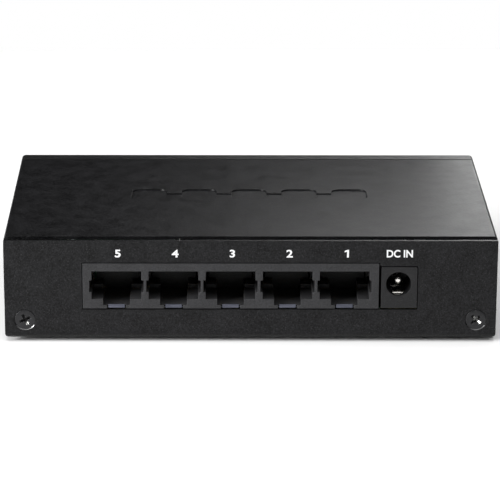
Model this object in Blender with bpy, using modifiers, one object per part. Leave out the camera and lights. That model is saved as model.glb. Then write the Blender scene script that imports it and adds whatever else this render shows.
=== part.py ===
"""Five-port desktop network switch: a folded steel case around one circuit board.

Sizes are in millimetres and the helpers turn them into metres. +Z is up, the origin is on the
surface that the feet stand on, under the middle of the case, and the ports look along -Y.
"""

import math

import bmesh
import bpy

MM = 0.001

# Case
CASE_W = 121.0
CASE_H = 25.4
REAR_Y = -37.5
FRONT_Y = 37.65
FOOT_H = 1.0
TOP = FOOT_H + CASE_H
GAP = 0.3

# Cover, folded from 0.8 mm steel
COVER_T = 0.8
COVER_BEND_R = 1.0
ROOF_REAR_Y = -34.6
COVER_REAR_Y = -36.2
COVER_FRONT_Y = 32.9
VENT_COUNT = 9
VENT_PITCH = 5.0
VENT_W = 2.0
VENT_L = 10.0
ORNAMENT_DEPTH = 0.2
ORNAMENT_Y = 1.0
ORNAMENT_PITCH = 12.8
ORNAMENT_SIDE = 9.0

# Chassis, folded from 1 mm steel
SHEET = 1.0
PANEL_W = 120.75
PANEL_TOP = TOP - 0.25
PANEL_CORNER_R = 1.1
FLOOR_W = 118.4
FLOOR_FRONT_Y = 32.6
RETURN_H = 8.0
FLANGE_H = 6.5
SCREW_X = 55.4
SCREW_Z = FOOT_H + 4.83

# Circuit board
BOARD_W = 99.2
BOARD_REAR_Y = -35.9
BOARD_FRONT_Y = 29.8
BOARD_TOP = FOOT_H + 7.4
BOARD_T = 1.6
ON_BOARD = BOARD_TOP + GAP
BOARD_SCREW_X = 45.2
BOARD_SCREW_YS = (-31.0, 24.0)

# Ganged modular jack: one housing, five ports
PORT_COUNT = 5
PORT_PITCH = 13.97
PORT_ROW_X = -4.95
JACK_FACE_Y = -37.65
JACK_D = 16.0
JACK_X = (-41.17, 31.37)
JACK_Z = (FOOT_H + 7.77, FOOT_H + 19.35)
PORT_W = 12.18
PORT_Z = (FOOT_H + 10.17, FOOT_H + 17.33)
EAR_W = 13.32
EAR_Z = (FOOT_H + 11.97, FOOT_H + 15.0)
NOTCH_W = 6.57
NOTCH_Z = FOOT_H + 8.64
PORT_BACK_Y = -25.2
WIRE_COUNT = 8
WIRE_PITCH = 1.016
WIRE_R = 0.2

# Power jack
DC_X = (31.92, 40.75)
DC_Z = (FOOT_H + 7.93, FOOT_H + 18.5)
DC_D = 14.0
DC_HOLE_X = 36.2
DC_HOLE_Z = FOOT_H + 14.13
DC_HOLE_R = 3.06
DC_PIN_R = 1.0
LEAF_W = 2.6
LEAF_T = 0.3
LEAF_PIVOT_Y = -26.2
LEAF_PIVOT_Z = FOOT_H + 9.6

# Front
BEZEL_REAR_Y = 33.4
BEZEL_WALL = 2.0
LED_XS = (34.0, 20.0, 10.0, 0.0, -10.0, -20.0)
LED_NAMES = ("power_led", "port_1_led", "port_2_led", "port_3_led", "port_4_led", "port_5_led")
LED_Y = 28.9
LIGHT_Z = FOOT_H + 11.0
LIGHT_W = 2.8
LIGHT_H = 1.4

FOOT_X = 50.0
FOOT_Y = 28.0
FOOT_R = 4.5


# ---- Scene, materials and helpers ----

for old in list(bpy.data.objects):
    bpy.data.objects.remove(old, do_unlink=True)

PARTS = bpy.data.collections.new("network_switch")
CUTTERS = bpy.data.collections.new("cutters")
bpy.context.scene.collection.children.link(PARTS)
bpy.context.scene.collection.children.link(CUTTERS)


def make_material(name, color, roughness, metallic=0.0):
    material = bpy.data.materials.new(name)
    material.use_nodes = True
    shader = material.node_tree.nodes["Principled BSDF"]
    shader.inputs["Base Color"].default_value = (*color, 1.0)
    shader.inputs["Roughness"].default_value = roughness
    shader.inputs["Metallic"].default_value = metallic
    return material


POWDER_COAT = make_material("black_powder_coat", (0.022, 0.022, 0.024), 0.45)
BEZEL_PLASTIC = make_material("black_abs", (0.018, 0.018, 0.02), 0.35)
JACK_PLASTIC = make_material("grey_black_nylon", (0.05, 0.05, 0.052), 0.5)
DC_PLASTIC = make_material("black_nylon", (0.03, 0.03, 0.032), 0.45)
CLEAR_PLASTIC = make_material("clear_polycarbonate", (0.85, 0.87, 0.88), 0.1)
RUBBER = make_material("black_rubber", (0.02, 0.02, 0.02), 0.8)
BLACK_SCREW = make_material("black_oxide_steel", (0.03, 0.03, 0.032), 0.35, 1.0)
ZINC_STEEL = make_material("zinc_steel", (0.6, 0.61, 0.63), 0.35, 1.0)
TIN_STEEL = make_material("tinned_steel", (0.66, 0.68, 0.72), 0.25, 1.0)
NICKEL = make_material("nickel_plate", (0.72, 0.7, 0.66), 0.2, 1.0)
GOLD = make_material("gold_plate", (0.85, 0.62, 0.25), 0.25, 1.0)
BOARD_GREEN = make_material("green_board", (0.02, 0.16, 0.07), 0.4)
CHIP_BLACK = make_material("moulding_compound", (0.03, 0.03, 0.03), 0.6)
CAN_ALUMINIUM = make_material("capacitor_can", (0.72, 0.72, 0.74), 0.3, 1.0)
FERRITE = make_material("ferrite", (0.08, 0.08, 0.085), 0.7)
LED_RESIN = make_material("led_resin", (0.75, 0.85, 0.6), 0.3)


def move_to(obj, collection):
    for holder in list(obj.users_collection):
        holder.objects.unlink(obj)
    collection.objects.link(obj)


def finish(obj, name, material, parent=None):
    """Names a part, gives it its material and hangs it on the object's empty or on a joint's."""
    obj.name = name
    obj.data.name = name
    obj.data.materials.clear()
    obj.data.materials.append(material)
    move_to(obj, PARTS)
    holder = parent or BODY
    obj.parent = holder
    obj.matrix_parent_inverse = holder.matrix_world.inverted()
    return obj


def box(low, high):
    """A block between two corners."""
    center = [(a + b) / 2 * MM for a, b in zip(low, high)]
    bpy.ops.mesh.primitive_cube_add(size=1.0, location=center)
    obj = bpy.context.object
    obj.scale = [(b - a) * MM for a, b in zip(low, high)]
    bpy.ops.object.transform_apply(location=False, rotation=False, scale=True)
    return obj


def blocks(corner_pairs):
    """Several blocks in one mesh, as a tool for one Boolean."""
    mesh = bpy.data.meshes.new("blocks")
    bm = bmesh.new()
    for low, high in corner_pairs:
        made = bmesh.ops.create_cube(bm, size=1.0)
        size = [(b - a) * MM for a, b in zip(low, high)]
        center = [(a + b) / 2 * MM for a, b in zip(low, high)]
        bmesh.ops.scale(bm, vec=size, verts=made["verts"])
        bmesh.ops.translate(bm, vec=center, verts=made["verts"])
    bm.to_mesh(mesh)
    bm.free()
    obj = bpy.data.objects.new("blocks", mesh)
    PARTS.objects.link(obj)
    return obj


def rod(center, radius, low, high, axis="Z", sides=24):
    """A cylinder along an axis, from low to high on it. center is its place on the other two."""
    middle = (low + high) / 2
    if axis == "Z":
        location, turn = (center[0], center[1], middle), (0, 0, 0)
    elif axis == "Y":
        location, turn = (center[0], middle, center[1]), (math.pi / 2, 0, 0)
    else:
        location, turn = (middle, center[0], center[1]), (0, math.pi / 2, 0)
    bpy.ops.mesh.primitive_cylinder_add(
        vertices=sides,
        radius=radius * MM,
        depth=(high - low) * MM,
        location=[value * MM for value in location],
        rotation=turn,
    )
    return bpy.context.object


def baked(curve_object):
    """The curve's mesh with its caps welded, as a new object in the same place."""
    bpy.context.view_layer.update()
    depsgraph = bpy.context.evaluated_depsgraph_get()
    mesh = bpy.data.meshes.new_from_object(curve_object.evaluated_get(depsgraph))
    bm = bmesh.new()
    bm.from_mesh(mesh)
    bmesh.ops.remove_doubles(bm, verts=bm.verts, dist=0.000001)
    bmesh.ops.recalc_face_normals(bm, faces=bm.faces)
    bm.to_mesh(mesh)
    bm.free()
    obj = bpy.data.objects.new("baked", mesh)
    obj.matrix_world = curve_object.matrix_world.copy()
    PARTS.objects.link(obj)
    bpy.data.objects.remove(curve_object, do_unlink=True)
    return obj


def prism(outline, low, high, axis="Z"):
    """A flat outline made as thick as low to high along an axis.

    The outline's two numbers are X, Y for axis Z; X, Z for axis Y; and Y, Z for axis X.
    """
    curve = bpy.data.curves.new("outline", "CURVE")
    curve.dimensions = "2D"
    curve.fill_mode = "BOTH"
    curve.extrude = (high - low) / 2 * MM
    spline = curve.splines.new("POLY")
    spline.points.add(len(outline) - 1)
    for point, (u, v) in zip(spline.points, outline):
        point.co = (u * MM, v * MM, 0.0, 1.0)
    spline.use_cyclic_u = True
    obj = bpy.data.objects.new("outline", curve)
    PARTS.objects.link(obj)
    middle = (low + high) / 2 * MM
    if axis == "Z":
        obj.location.z = middle
    elif axis == "Y":
        obj.location.y = middle
        obj.rotation_euler = (math.pi / 2, 0, 0)
    else:
        obj.location.x = middle
        obj.rotation_euler = (math.pi / 2, 0, math.pi / 2)
    return baked(obj)


def wires(routes, radius):
    """Square-section wires through lists of points, as one mesh."""
    curve = bpy.data.curves.new("wires", "CURVE")
    curve.dimensions = "3D"
    curve.bevel_depth = radius * MM
    curve.bevel_resolution = 0
    curve.use_fill_caps = True
    for route in routes:
        spline = curve.splines.new("POLY")
        spline.points.add(len(route) - 1)
        for point, place in zip(spline.points, route):
            point.co = (*[value * MM for value in place], 1.0)
    obj = bpy.data.objects.new("wires", curve)
    PARTS.objects.link(obj)
    return baked(obj)


def turned(profile, location, turn=(0, 0, 0), steps=20, ring=False):
    """A profile of radius and height, listed from top to bottom, spun about its own Z axis."""
    mesh = bpy.data.meshes.new("turned")
    bm = bmesh.new()
    points = [bm.verts.new((r * MM, 0, z * MM)) for r, z in profile]
    for first, second in zip(points, points[1:]):
        bm.edges.new((first, second))
    if ring:
        bm.edges.new((points[-1], points[0]))
    bm.to_mesh(mesh)
    bm.free()
    obj = bpy.data.objects.new("turned", mesh)
    PARTS.objects.link(obj)
    obj.location = [value * MM for value in location]
    obj.rotation_euler = turn
    spin = obj.modifiers.new("Spin", "SCREW")
    spin.steps = steps
    spin.render_steps = steps
    spin.use_merge_vertices = True
    spin.merge_threshold = 0.000001
    return obj


def combine(obj, tool, operation, solver="EXACT"):
    tool.hide_render = True
    tool.display_type = "WIRE"
    move_to(tool, CUTTERS)
    modifier = obj.modifiers.new(operation.title(), "BOOLEAN")
    modifier.operation = operation
    modifier.solver = solver
    modifier.object = tool
    return obj


def cut(obj, *tools, solver="EXACT"):
    for tool in tools:
        combine(obj, tool, "DIFFERENCE", solver)
    return obj


def fuse(obj, *tools):
    for tool in tools:
        combine(obj, tool, "UNION")
    return obj


def round_edges(obj, width, segments, wanted):
    """Bevels the edges whose middle, in millimetres of the scene, passes the test."""
    bm = bmesh.new()
    bm.from_mesh(obj.data)
    bpy.context.view_layer.update()
    chosen = []
    for edge in bm.edges:
        middle = obj.matrix_world @ ((edge.verts[0].co + edge.verts[1].co) / 2)
        if wanted(*(value / MM for value in middle)):
            chosen.append(edge)
    bmesh.ops.bevel(
        bm, geom=chosen, offset=width * MM, segments=segments, profile=0.5, affect="EDGES"
    )
    bm.to_mesh(obj.data)
    bm.free()
    return obj


def arc(cx, cy, radius, start, end, segments):
    """Points on an arc, angles in degrees."""
    points = []
    for i in range(segments + 1):
        angle = math.radians(start + (end - start) * i / segments)
        points.append((cx + radius * math.cos(angle), cy + radius * math.sin(angle)))
    return points


def rounded_rectangle(cx, cy, width, height, radius, segments=3):
    x = width / 2 - radius
    y = height / 2 - radius
    points = arc(cx + x, cy + y, radius, 0, 90, segments)
    points += arc(cx - x, cy + y, radius, 90, 180, segments)
    points += arc(cx - x, cy - y, radius, 180, 270, segments)
    points += arc(cx + x, cy - y, radius, 270, 360, segments)
    return points


def stadium(cx, cy, width, height, segments=4):
    """An upright slot with round ends."""
    straight = height / 2 - width / 2
    points = arc(cx, cy + straight, width / 2, 0, 180, segments)
    points += arc(cx, cy - straight, width / 2, 180, 360, segments)
    return points


def port_x(number):
    """Port 1 is nearest the power jack and port 5 is furthest from it."""
    return PORT_ROW_X + (3 - number) * PORT_PITCH


def new_empty(name, location):
    empty = bpy.data.objects.new(name, None)
    PARTS.objects.link(empty)
    empty.location = [value * MM for value in location]
    bpy.context.view_layer.update()
    return empty


BODY = new_empty("switch_body", (0, 0, 0))
LEAF_PIVOT = new_empty("leaf_pivot", (DC_HOLE_X, LEAF_PIVOT_Y, LEAF_PIVOT_Z))


# ---- Case ----


def make_chassis():
    """Floor, rear panel, side returns and front flange, folded from one sheet."""
    outer_r = 1.4
    inner_r = outer_r - SHEET
    bend_y = REAR_Y + outer_r
    bend_z = FOOT_H + outer_r
    section = [(FLOOR_FRONT_Y, FOOT_H + SHEET), (FLOOR_FRONT_Y, FOOT_H)]
    section += arc(bend_y, bend_z, outer_r, 270, 180, 5)
    section += [(REAR_Y, PANEL_TOP), (REAR_Y + SHEET, PANEL_TOP)]
    section += arc(bend_y, bend_z, inner_r, 180, 270, 3)
    chassis = prism(section, -PANEL_W / 2, PANEL_W / 2, "X")

    half_panel = PANEL_W / 2
    half_floor = FLOOR_W / 2
    narrowing = []
    for side in (-1, 1):
        reach = sorted((side * half_floor, side * (half_panel + 1)))
        narrowing.append(((reach[0], REAR_Y + SHEET, 0), (reach[1], FLOOR_FRONT_Y + 1, FOOT_H + 2)))
        corner = arc(
            side * (half_panel - PANEL_CORNER_R),
            FOOT_H + PANEL_CORNER_R,
            PANEL_CORNER_R,
            270,
            270 + side * 90,
            5,
        )
        corner += [(side * (half_panel + 1), FOOT_H + PANEL_CORNER_R)]
        corner += [(side * (half_panel + 1), FOOT_H - 1)]
        corner += [(side * (half_panel - PANEL_CORNER_R), FOOT_H - 1)]
        cut(chassis, prism(corner, REAR_Y - 1, bend_y + 0.1, "Y"))
    cut(chassis, blocks(narrowing))

    for side in (-1, 1):
        wall = sorted((side * half_floor, side * (half_floor - SHEET)))
        fuse(chassis, box((wall[0], -34, FOOT_H + 0.4), (wall[1], 31, FOOT_H + RETURN_H)))
    fuse(
        chassis,
        box((-56, FLOOR_FRONT_Y - SHEET, FOOT_H + 0.4), (56, FLOOR_FRONT_Y, FOOT_H + FLANGE_H)),
    )

    opening = [
        (-41.42, FOOT_H + 7.15),
        (41.02, FOOT_H + 7.15),
        (41.02, FOOT_H + 18.76),
        (31.66, FOOT_H + 18.76),
        (31.66, FOOT_H + 19.65),
        (-41.42, FOOT_H + 19.65),
    ]
    cut(chassis, prism(opening, REAR_Y - 1, REAR_Y + SHEET + 1, "Y"))
    clip_windows = []
    for side in (-1, 1):
        hole = turned(
            [(0, 1), (3.9, 1), (2.75, 0), (1.6, -SHEET), (1.6, -3), (0, -3)],
            (side * SCREW_X, REAR_Y, SCREW_Z),
            (math.pi / 2, 0, 0),
        )
        cut(chassis, hole)
        middle = side * 42
        clip_windows.append(
            ((middle - 4.2, FLOOR_FRONT_Y - 2, FOOT_H + 2.6), (middle + 4.2, 34, FOOT_H + 5.2))
        )
        cut(chassis, prism(keyhole(side * 30, 2), 0, FOOT_H + 2, "Z"))
    cut(chassis, blocks(clip_windows))
    finish(chassis, "bottom_chassis", POWDER_COAT)


def keyhole(cx, cy):
    """A screw head's circle with a slot above it, for hanging the case on a wall."""
    head_r, slot_r, slot_l = 3.6, 1.8, 6.0
    meet = math.degrees(math.asin(slot_r / head_r))
    points = arc(cx, cy, head_r, 90 + meet, 450 - meet, 12)
    points += arc(cx, cy + slot_l, slot_r, 0, 180, 6)
    return points


def make_cover():
    """Roof and both sides folded from one sheet, with a screw tab at each rear corner."""
    half = CASE_W / 2
    bend_z = TOP - COVER_BEND_R
    inner_r = COVER_BEND_R - COVER_T
    section = [(-half, FOOT_H)]
    section += arc(-half + COVER_BEND_R, bend_z, COVER_BEND_R, 180, 90, 5)
    section += arc(half - COVER_BEND_R, bend_z, COVER_BEND_R, 90, 0, 5)
    section += [(half, FOOT_H), (half - COVER_T, FOOT_H)]
    section += arc(half - COVER_BEND_R, bend_z, inner_r, 0, 90, 2)
    section += arc(-half + COVER_BEND_R, bend_z, inner_r, 90, 180, 2)
    section += [(-half + COVER_T, FOOT_H)]
    cover = prism(section, COVER_REAR_Y, COVER_FRONT_Y, "Y")
    cut(cover, box((-half - 1, COVER_REAR_Y - 1, bend_z - 0.4), (half + 1, ROOF_REAR_Y, TOP + 1)))

    for side in (-1, 1):
        reach = sorted((side * 50.8, side * (half - COVER_T / 2)))
        tab = box(
            (reach[0], COVER_REAR_Y, FOOT_H + 1.4), (reach[1], COVER_REAR_Y + 0.8, FOOT_H + 8.6)
        )
        fuse(cover, tab)
        cut(cover, rod((side * SCREW_X, SCREW_Z), 1.4, COVER_REAR_Y - 1, -34, "Y", 20))
    for i in range(VENT_COUNT):
        y = (i - (VENT_COUNT - 1) / 2) * VENT_PITCH
        slot = prism(stadium(y, FOOT_H + 16, VENT_W, VENT_L), -half - 1, half + 1, "X")
        cut(cover, slot)

    low = TOP - ORNAMENT_DEPTH
    reach = ORNAMENT_PITCH * 2
    links = [((-reach, ORNAMENT_Y - 0.8, low), (reach, ORNAMENT_Y + 0.8, TOP + 1))]
    cut(cover, blocks(links))
    for i in range(-2, 3):
        outline = rounded_rectangle(
            i * ORNAMENT_PITCH, ORNAMENT_Y, ORNAMENT_SIDE, ORNAMENT_SIDE, 2.2
        )
        cut(cover, prism(outline, low, TOP + 1, "Z"))
    finish(cover, "top_cover", POWDER_COAT)


def make_bezel():
    """Moulded front with six light windows, a lip under the roof and two snap hooks."""
    half = CASE_W / 2
    bezel = box((-half, BEZEL_REAR_Y, FOOT_H), (half, FRONT_Y, TOP))

    def along_depth(x, y, z):
        return BEZEL_REAR_Y + 0.5 < y < FRONT_Y - 0.5

    def around_front(x, y, z):
        return y > FRONT_Y - 0.01

    round_edges(bezel, COVER_BEND_R, 4, along_depth)
    round_edges(bezel, 0.5, 3, around_front)
    inside = box(
        (-half + BEZEL_WALL, BEZEL_REAR_Y - 1, FOOT_H + BEZEL_WALL),
        (half - BEZEL_WALL, FRONT_Y - BEZEL_WALL, TOP - BEZEL_WALL),
    )
    cut(bezel, inside)
    lip_top = TOP - COVER_T - GAP
    fuse(bezel, box((-50, 30.5, lip_top - 1.1), (50, FRONT_Y - 1, lip_top)))
    for side in (-1, 1):
        middle = side * 42
        hook = [
            (FRONT_Y - 1, FOOT_H + 3.0),
            (FRONT_Y - 1, FOOT_H + 4.6),
            (FLOOR_FRONT_Y - SHEET - GAP, FOOT_H + 4.6),
            (FLOOR_FRONT_Y - SHEET - GAP, FOOT_H + 5.6),
            (30.2, FOOT_H + 4.2),
            (30.2, FOOT_H + 3.0),
        ]
        fuse(bezel, prism(hook, middle - 3.5, middle + 3.5, "X"))
    for x in LED_XS:
        window = rounded_rectangle(x, LIGHT_Z, LIGHT_W + 0.7, LIGHT_H + 0.7, 0.5)
        cut(bezel, prism(window, FRONT_Y - BEZEL_WALL - 1, FRONT_Y + 1, "Y"))
    finish(bezel, "front_bezel", BEZEL_PLASTIC)


def make_light_guide():
    """Six clear arms that carry each lamp's light to its window, joined by one bar."""
    rear = LED_Y - 0.7
    tip = FRONT_Y - GAP
    low = LIGHT_Z - LIGHT_H / 2
    high = LIGHT_Z + LIGHT_H / 2
    foot = ON_BOARD + 1.2
    arm = [
        (rear, foot),
        (rear + LIGHT_H, foot),
        (rear + LIGHT_H, low),
        (tip, low),
        (tip, high),
        (rear + 1.0, high),
        (rear, high - 1.0),
    ]
    guide = box((LED_XS[-1] - 1.4, 32.2, high - 0.4), (LED_XS[0] + 1.4, 33.2, high + 1.0))
    for x in LED_XS:
        fuse(guide, prism(arm, x - LIGHT_W / 2, x + LIGHT_W / 2, "X"))
    finish(guide, "light_guide", CLEAR_PLASTIC)


def make_feet():
    for front, row in ((-1, "rear"), (1, "front")):
        for side, hand in ((-1, "left"), (1, "right")):
            height = FOOT_H - GAP
            foot = turned(
                [(0, height), (FOOT_R, height), (FOOT_R, 0.3), (FOOT_R - 0.3, 0), (0, 0)],
                (side * FOOT_X, front * FOOT_Y, 0),
            )
            finish(foot, f"rubber_foot_{row}_{hand}", RUBBER)


def cross_recess(obj, center, axis_y):
    """Cuts a small cross into a screw head, along -Z, or along +Y where axis_y is set."""
    x, y, z = center
    wide, narrow, deep = 1.1, 0.28, 0.7
    if axis_y:
        bars = [
            ((x - wide, y - 1, z - narrow), (x + wide, y + deep, z + narrow)),
            ((x - narrow, y - 1, z - wide), (x + narrow, y + deep, z + wide)),
        ]
    else:
        bars = [
            ((x - wide, y - narrow, z - deep), (x + wide, y + narrow, z + 1)),
            ((x - narrow, y - wide, z - deep), (x + narrow, y + wide, z + 1)),
        ]
    for low, high in bars:
        cut(obj, box(low, high))


def make_rear_screws():
    """Countersunk screws that draw the rear panel and the cover's tabs together."""
    for side, hand in ((-1, "left"), (1, "right")):
        head_y = REAR_Y + 0.08
        screw = turned(
            [(0, 0), (2.4, 0), (2.4, -0.1), (1.1, -1.1), (1.1, -5.6), (0.7, -6), (0, -6)],
            (side * SCREW_X, head_y, SCREW_Z),
            (math.pi / 2, 0, 0),
        )
        cross_recess(screw, (side * SCREW_X, head_y, SCREW_Z), True)
        finish(screw, f"rear_screw_{hand}", BLACK_SCREW)


# ---- Circuit board and what stands on it ----


def make_board():
    board = box(
        (-BOARD_W / 2, BOARD_REAR_Y, BOARD_TOP - BOARD_T), (BOARD_W / 2, BOARD_FRONT_Y, BOARD_TOP)
    )
    for x in (-BOARD_SCREW_X, BOARD_SCREW_X):
        for y in BOARD_SCREW_YS:
            cut(board, rod((x, y), 1.7, BOARD_TOP - BOARD_T - 1, BOARD_TOP + 1, "Z", 16))
    finish(board, "circuit_board", BOARD_GREEN)


def make_board_fasteners():
    """A tapped standoff and a pan-head screw at each corner of the board."""
    for y, row in zip(BOARD_SCREW_YS, ("rear", "front")):
        for side, hand in ((-1, "left"), (1, "right")):
            x = side * BOARD_SCREW_X
            top = BOARD_TOP - BOARD_T - GAP
            bottom = FOOT_H + SHEET + GAP
            standoff = turned(
                [(1.6, top), (2.8, top), (2.8, bottom), (1.6, bottom)],
                (x, y, 0),
                steps=6,
                ring=True,
            )
            finish(standoff, f"standoff_{row}_{hand}", ZINC_STEEL)
            seat = BOARD_TOP + GAP
            screw = turned(
                [
                    (0, seat + 2.0),
                    (1.5, seat + 1.9),
                    (2.5, seat + 1.3),
                    (2.75, seat),
                    (1.2, seat),
                    (1.2, bottom + 0.6),
                    (0, bottom + 0.6),
                ],
                (x, y, 0),
                steps=16,
            )
            cross_recess(screw, (x, y, seat + 2.0), False)
            finish(screw, f"board_screw_{row}_{hand}", ZINC_STEEL)


def make_jack_housing():
    """One moulding with five plug cavities, each open at the back for its contacts."""
    rear = JACK_FACE_Y + JACK_D
    housing = box((JACK_X[0], JACK_FACE_Y, JACK_Z[0]), (JACK_X[1], rear, JACK_Z[1]))
    pockets = []
    for number in range(1, PORT_COUNT + 1):
        x = port_x(number)
        cavity = []
        for half_w, z in (
            (PORT_W / 2, PORT_Z[1]),
            (PORT_W / 2, EAR_Z[1]),
            (EAR_W / 2, EAR_Z[1]),
            (EAR_W / 2, EAR_Z[0]),
            (PORT_W / 2, EAR_Z[0]),
            (PORT_W / 2, PORT_Z[0]),
            (NOTCH_W / 2, PORT_Z[0]),
            (NOTCH_W / 2, NOTCH_Z),
        ):
            cavity.append((half_w, z))
        outline = [(x + u, z) for u, z in cavity]
        outline += [(x - u, z) for u, z in reversed(cavity)]
        cut(housing, prism(outline, JACK_FACE_Y - 1, PORT_BACK_Y, "Y"), solver="MANIFOLD")
        pockets.append(((x - 4.6, -35.0, PORT_Z[1] - 0.5), (x + 4.6, -25.0, FOOT_H + 18.4)))
        pockets.append(((x - 5.8, -25.4, FOOT_H + 8.5), (x + 5.8, rear + 1, FOOT_H + 18.7)))
        pockets.append(((x - 2.3, JACK_FACE_Y - 1, FOOT_H + 7), (x + 2.3, -36.7, NOTCH_Z + 0.1)))
    plate_bay = ((JACK_X[0] + 1, JACK_FACE_Y + 0.7, FOOT_H + 7), (JACK_X[1] - 1, -22.6, FOOT_H + 8.3))
    for low, high in [*pockets, plate_bay]:
        cut(housing, box(low, high), solver="MANIFOLD")
    finish(housing, "rj45_housing", JACK_PLASTIC)


def make_shield_plate():
    """Earth plate under the housing, with a tab that folds up in front of each latch notch."""
    low = ON_BOARD + 0.05
    high = low + 0.25
    plate = box((JACK_X[0] + 1.4, -36.4, low), (JACK_X[1] - 1.4, -23.0, high))
    for number in range(1, PORT_COUNT + 1):
        x = port_x(number)
        tab = [
            (-36.0, low),
            (-36.0, high),
            (-37.3, high),
            (-37.3, FOOT_H + 8.9),
            (-37.6, FOOT_H + 8.9),
            (-37.6, low),
        ]
        fuse(plate, prism(tab, x - 2.0, x + 2.0, "X"))
    finish(plate, "jack_shield_plate", TIN_STEEL)


def make_port_contacts(number):
    """A moulded block that closes the back of a port, and the eight sprung wires draped over it."""
    x = port_x(number)
    front = -24.9
    rear = -22.0
    block_top = FOOT_H + 17.3
    block = box((x - 5.4, front, FOOT_H + 8.8), (x + 5.4, rear, block_top))
    finish(block, f"port_{number}_block", DC_PLASTIC)

    run_z = block_top + GAP + WIRE_R
    run_y = rear + GAP + WIRE_R
    foot_z = ON_BOARD + WIRE_R
    routes = []
    for i in range(WIRE_COUNT):
        wire_x = x + (i - (WIRE_COUNT - 1) / 2) * WIRE_PITCH
        routes.append(
            [
                (wire_x, -26.4, FOOT_H + 15.1),
                (wire_x, -34.0, FOOT_H + 16.8),
                (wire_x, -34.4, run_z - 0.4),
                (wire_x, -34.0, run_z),
                (wire_x, run_y, run_z),
                (wire_x, run_y, foot_z),
                (wire_x, run_y + 1.2, foot_z),
            ]
        )
    half = WIRE_PITCH * WIRE_COUNT / 2
    comb = box((x - half, run_y - 0.15, run_z - 2.2), (x + half, run_y + 0.45, run_z - 1.0))
    fuse(comb, wires(routes, WIRE_R))
    finish(comb, f"port_{number}_wires", GOLD)


def make_power_jack():
    """Moulded body, centre pin, and the sprung leaf that presses on the plug's sleeve."""
    rear = JACK_FACE_Y + DC_D
    center = (DC_HOLE_X, DC_HOLE_Z)
    body = box((DC_X[0], JACK_FACE_Y, DC_Z[0]), (DC_X[1], rear, DC_Z[1]))
    cut(body, rod(center, DC_HOLE_R, JACK_FACE_Y - 1, -27.0, "Y", 32))
    cut(body, rod(center, 1.5, -28.0, rear + 1, "Y", 16))
    leaf_bay = box(
        (DC_HOLE_X - 1.7, -36.2, FOOT_H + 7), (DC_HOLE_X + 1.7, -24.7, DC_HOLE_Z - 2.2)
    )
    cut(body, leaf_bay)
    finish(body, "dc_jack_body", DC_PLASTIC)

    pin = turned(
        [(0, 0), (0.55, -0.12), (0.88, -0.5), (DC_PIN_R, -1.1), (DC_PIN_R, -12.0), (0, -12.0)],
        (DC_HOLE_X, -34.9, DC_HOLE_Z),
        (math.pi / 2, 0, 0),
        steps=16,
    )
    leg = box((DC_HOLE_X - 1.0, rear + GAP, FOOT_H + 7.7), (DC_HOLE_X + 1.0, -22.9, DC_HOLE_Z + 1.5))
    fuse(pin, leg)
    finish(pin, "dc_jack_center_pin", NICKEL)

    leg = box(
        (DC_HOLE_X - LEAF_W / 2, -25.3, FOOT_H + 7.7), (DC_HOLE_X + LEAF_W / 2, -25.0, FOOT_H + 10.2)
    )
    finish(leg, "dc_jack_sleeve_terminal", NICKEL)
    make_leaf()


def make_leaf():
    """The sprung leaf, as a folded strip with its origin on the bend that it flexes about."""
    path = [
        (0.0, 0.0),
        (-3.2, 1.45),
        (-5.2, 2.0),
        (-6.6, 2.1),
        (-8.0, 1.75),
        (-9.4, 1.0),
    ]
    mesh = bpy.data.meshes.new("leaf")
    bm = bmesh.new()
    bmesh.ops.create_grid(bm, x_segments=1, y_segments=len(path) - 1, size=1.0)
    for vert in bm.verts:
        step = round((vert.co.y + 1) / 2 * (len(path) - 1))
        y, z = path[step]
        vert.co = (vert.co.x * LEAF_W / 2 * MM, y * MM, z * MM)
    bmesh.ops.recalc_face_normals(bm, faces=bm.faces)
    bm.to_mesh(mesh)
    bm.free()
    leaf = bpy.data.objects.new("leaf", mesh)
    PARTS.objects.link(leaf)
    leaf.location = LEAF_PIVOT.location
    sheet = leaf.modifiers.new("Sheet", "SOLIDIFY")
    sheet.thickness = LEAF_T * MM
    sheet.offset = 0.0
    bpy.context.view_layer.update()
    finish(leaf, "dc_jack_leaf_spring", NICKEL, LEAF_PIVOT)


def make_package(name, center, size, leads_per_side, on_all_sides, lead_reach, material):
    """A flat chip package with plain leads at its foot."""
    cx, cy = center
    sx, sy, sz = (value / 2 for value in size)
    bottom = ON_BOARD + 0.15
    package = box((cx - sx, cy - sy, bottom), (cx + sx, cy + sy, bottom + size[2]))
    leads = []
    z = (ON_BOARD, ON_BOARD + 0.35)
    for i in range(leads_per_side):
        slide = (i - (leads_per_side - 1) / 2) / leads_per_side
        y = cy + slide * size[1] * 0.94
        x = cx + slide * size[0] * 0.94
        half = 0.17 * size[1] / leads_per_side
        leads.append(((cx - sx - lead_reach, y - half, z[0]), (cx - sx + 0.5, y + half, z[1])))
        leads.append(((cx + sx - 0.5, y - half, z[0]), (cx + sx + lead_reach, y + half, z[1])))
        if on_all_sides:
            leads.append(((x - half, cy - sy - lead_reach, z[0]), (x + half, cy - sy + 0.5, z[1])))
            leads.append(((x - half, cy + sy - 0.5, z[0]), (x + half, cy + sy + lead_reach, z[1])))
    fuse(package, blocks(leads))
    finish(package, name, material)


def make_chips():
    make_package("switch_chip", (2.0, 8.0), (14.0, 14.0, 1.4), 9, True, 1.0, CHIP_BLACK)
    make_package("memory_chip", (-17.0, 8.0), (3.9, 4.9, 1.4), 4, False, 0.9, CHIP_BLACK)
    make_package("voltage_regulator", (33.0, -3.0), (3.9, 4.9, 1.4), 4, False, 0.9, CHIP_BLACK)
    make_package("input_diode", (41.5, -14.0), (4.3, 2.6, 2.1), 1, False, 0.5, CHIP_BLACK)
    for number in range(1, PORT_COUNT + 1):
        center = (port_x(number), -11.5)
        size = (9.6, 12.8, 4.0)
        make_package(f"lan_transformer_{number}", center, size, 6, False, 1.2, CHIP_BLACK)


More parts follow.
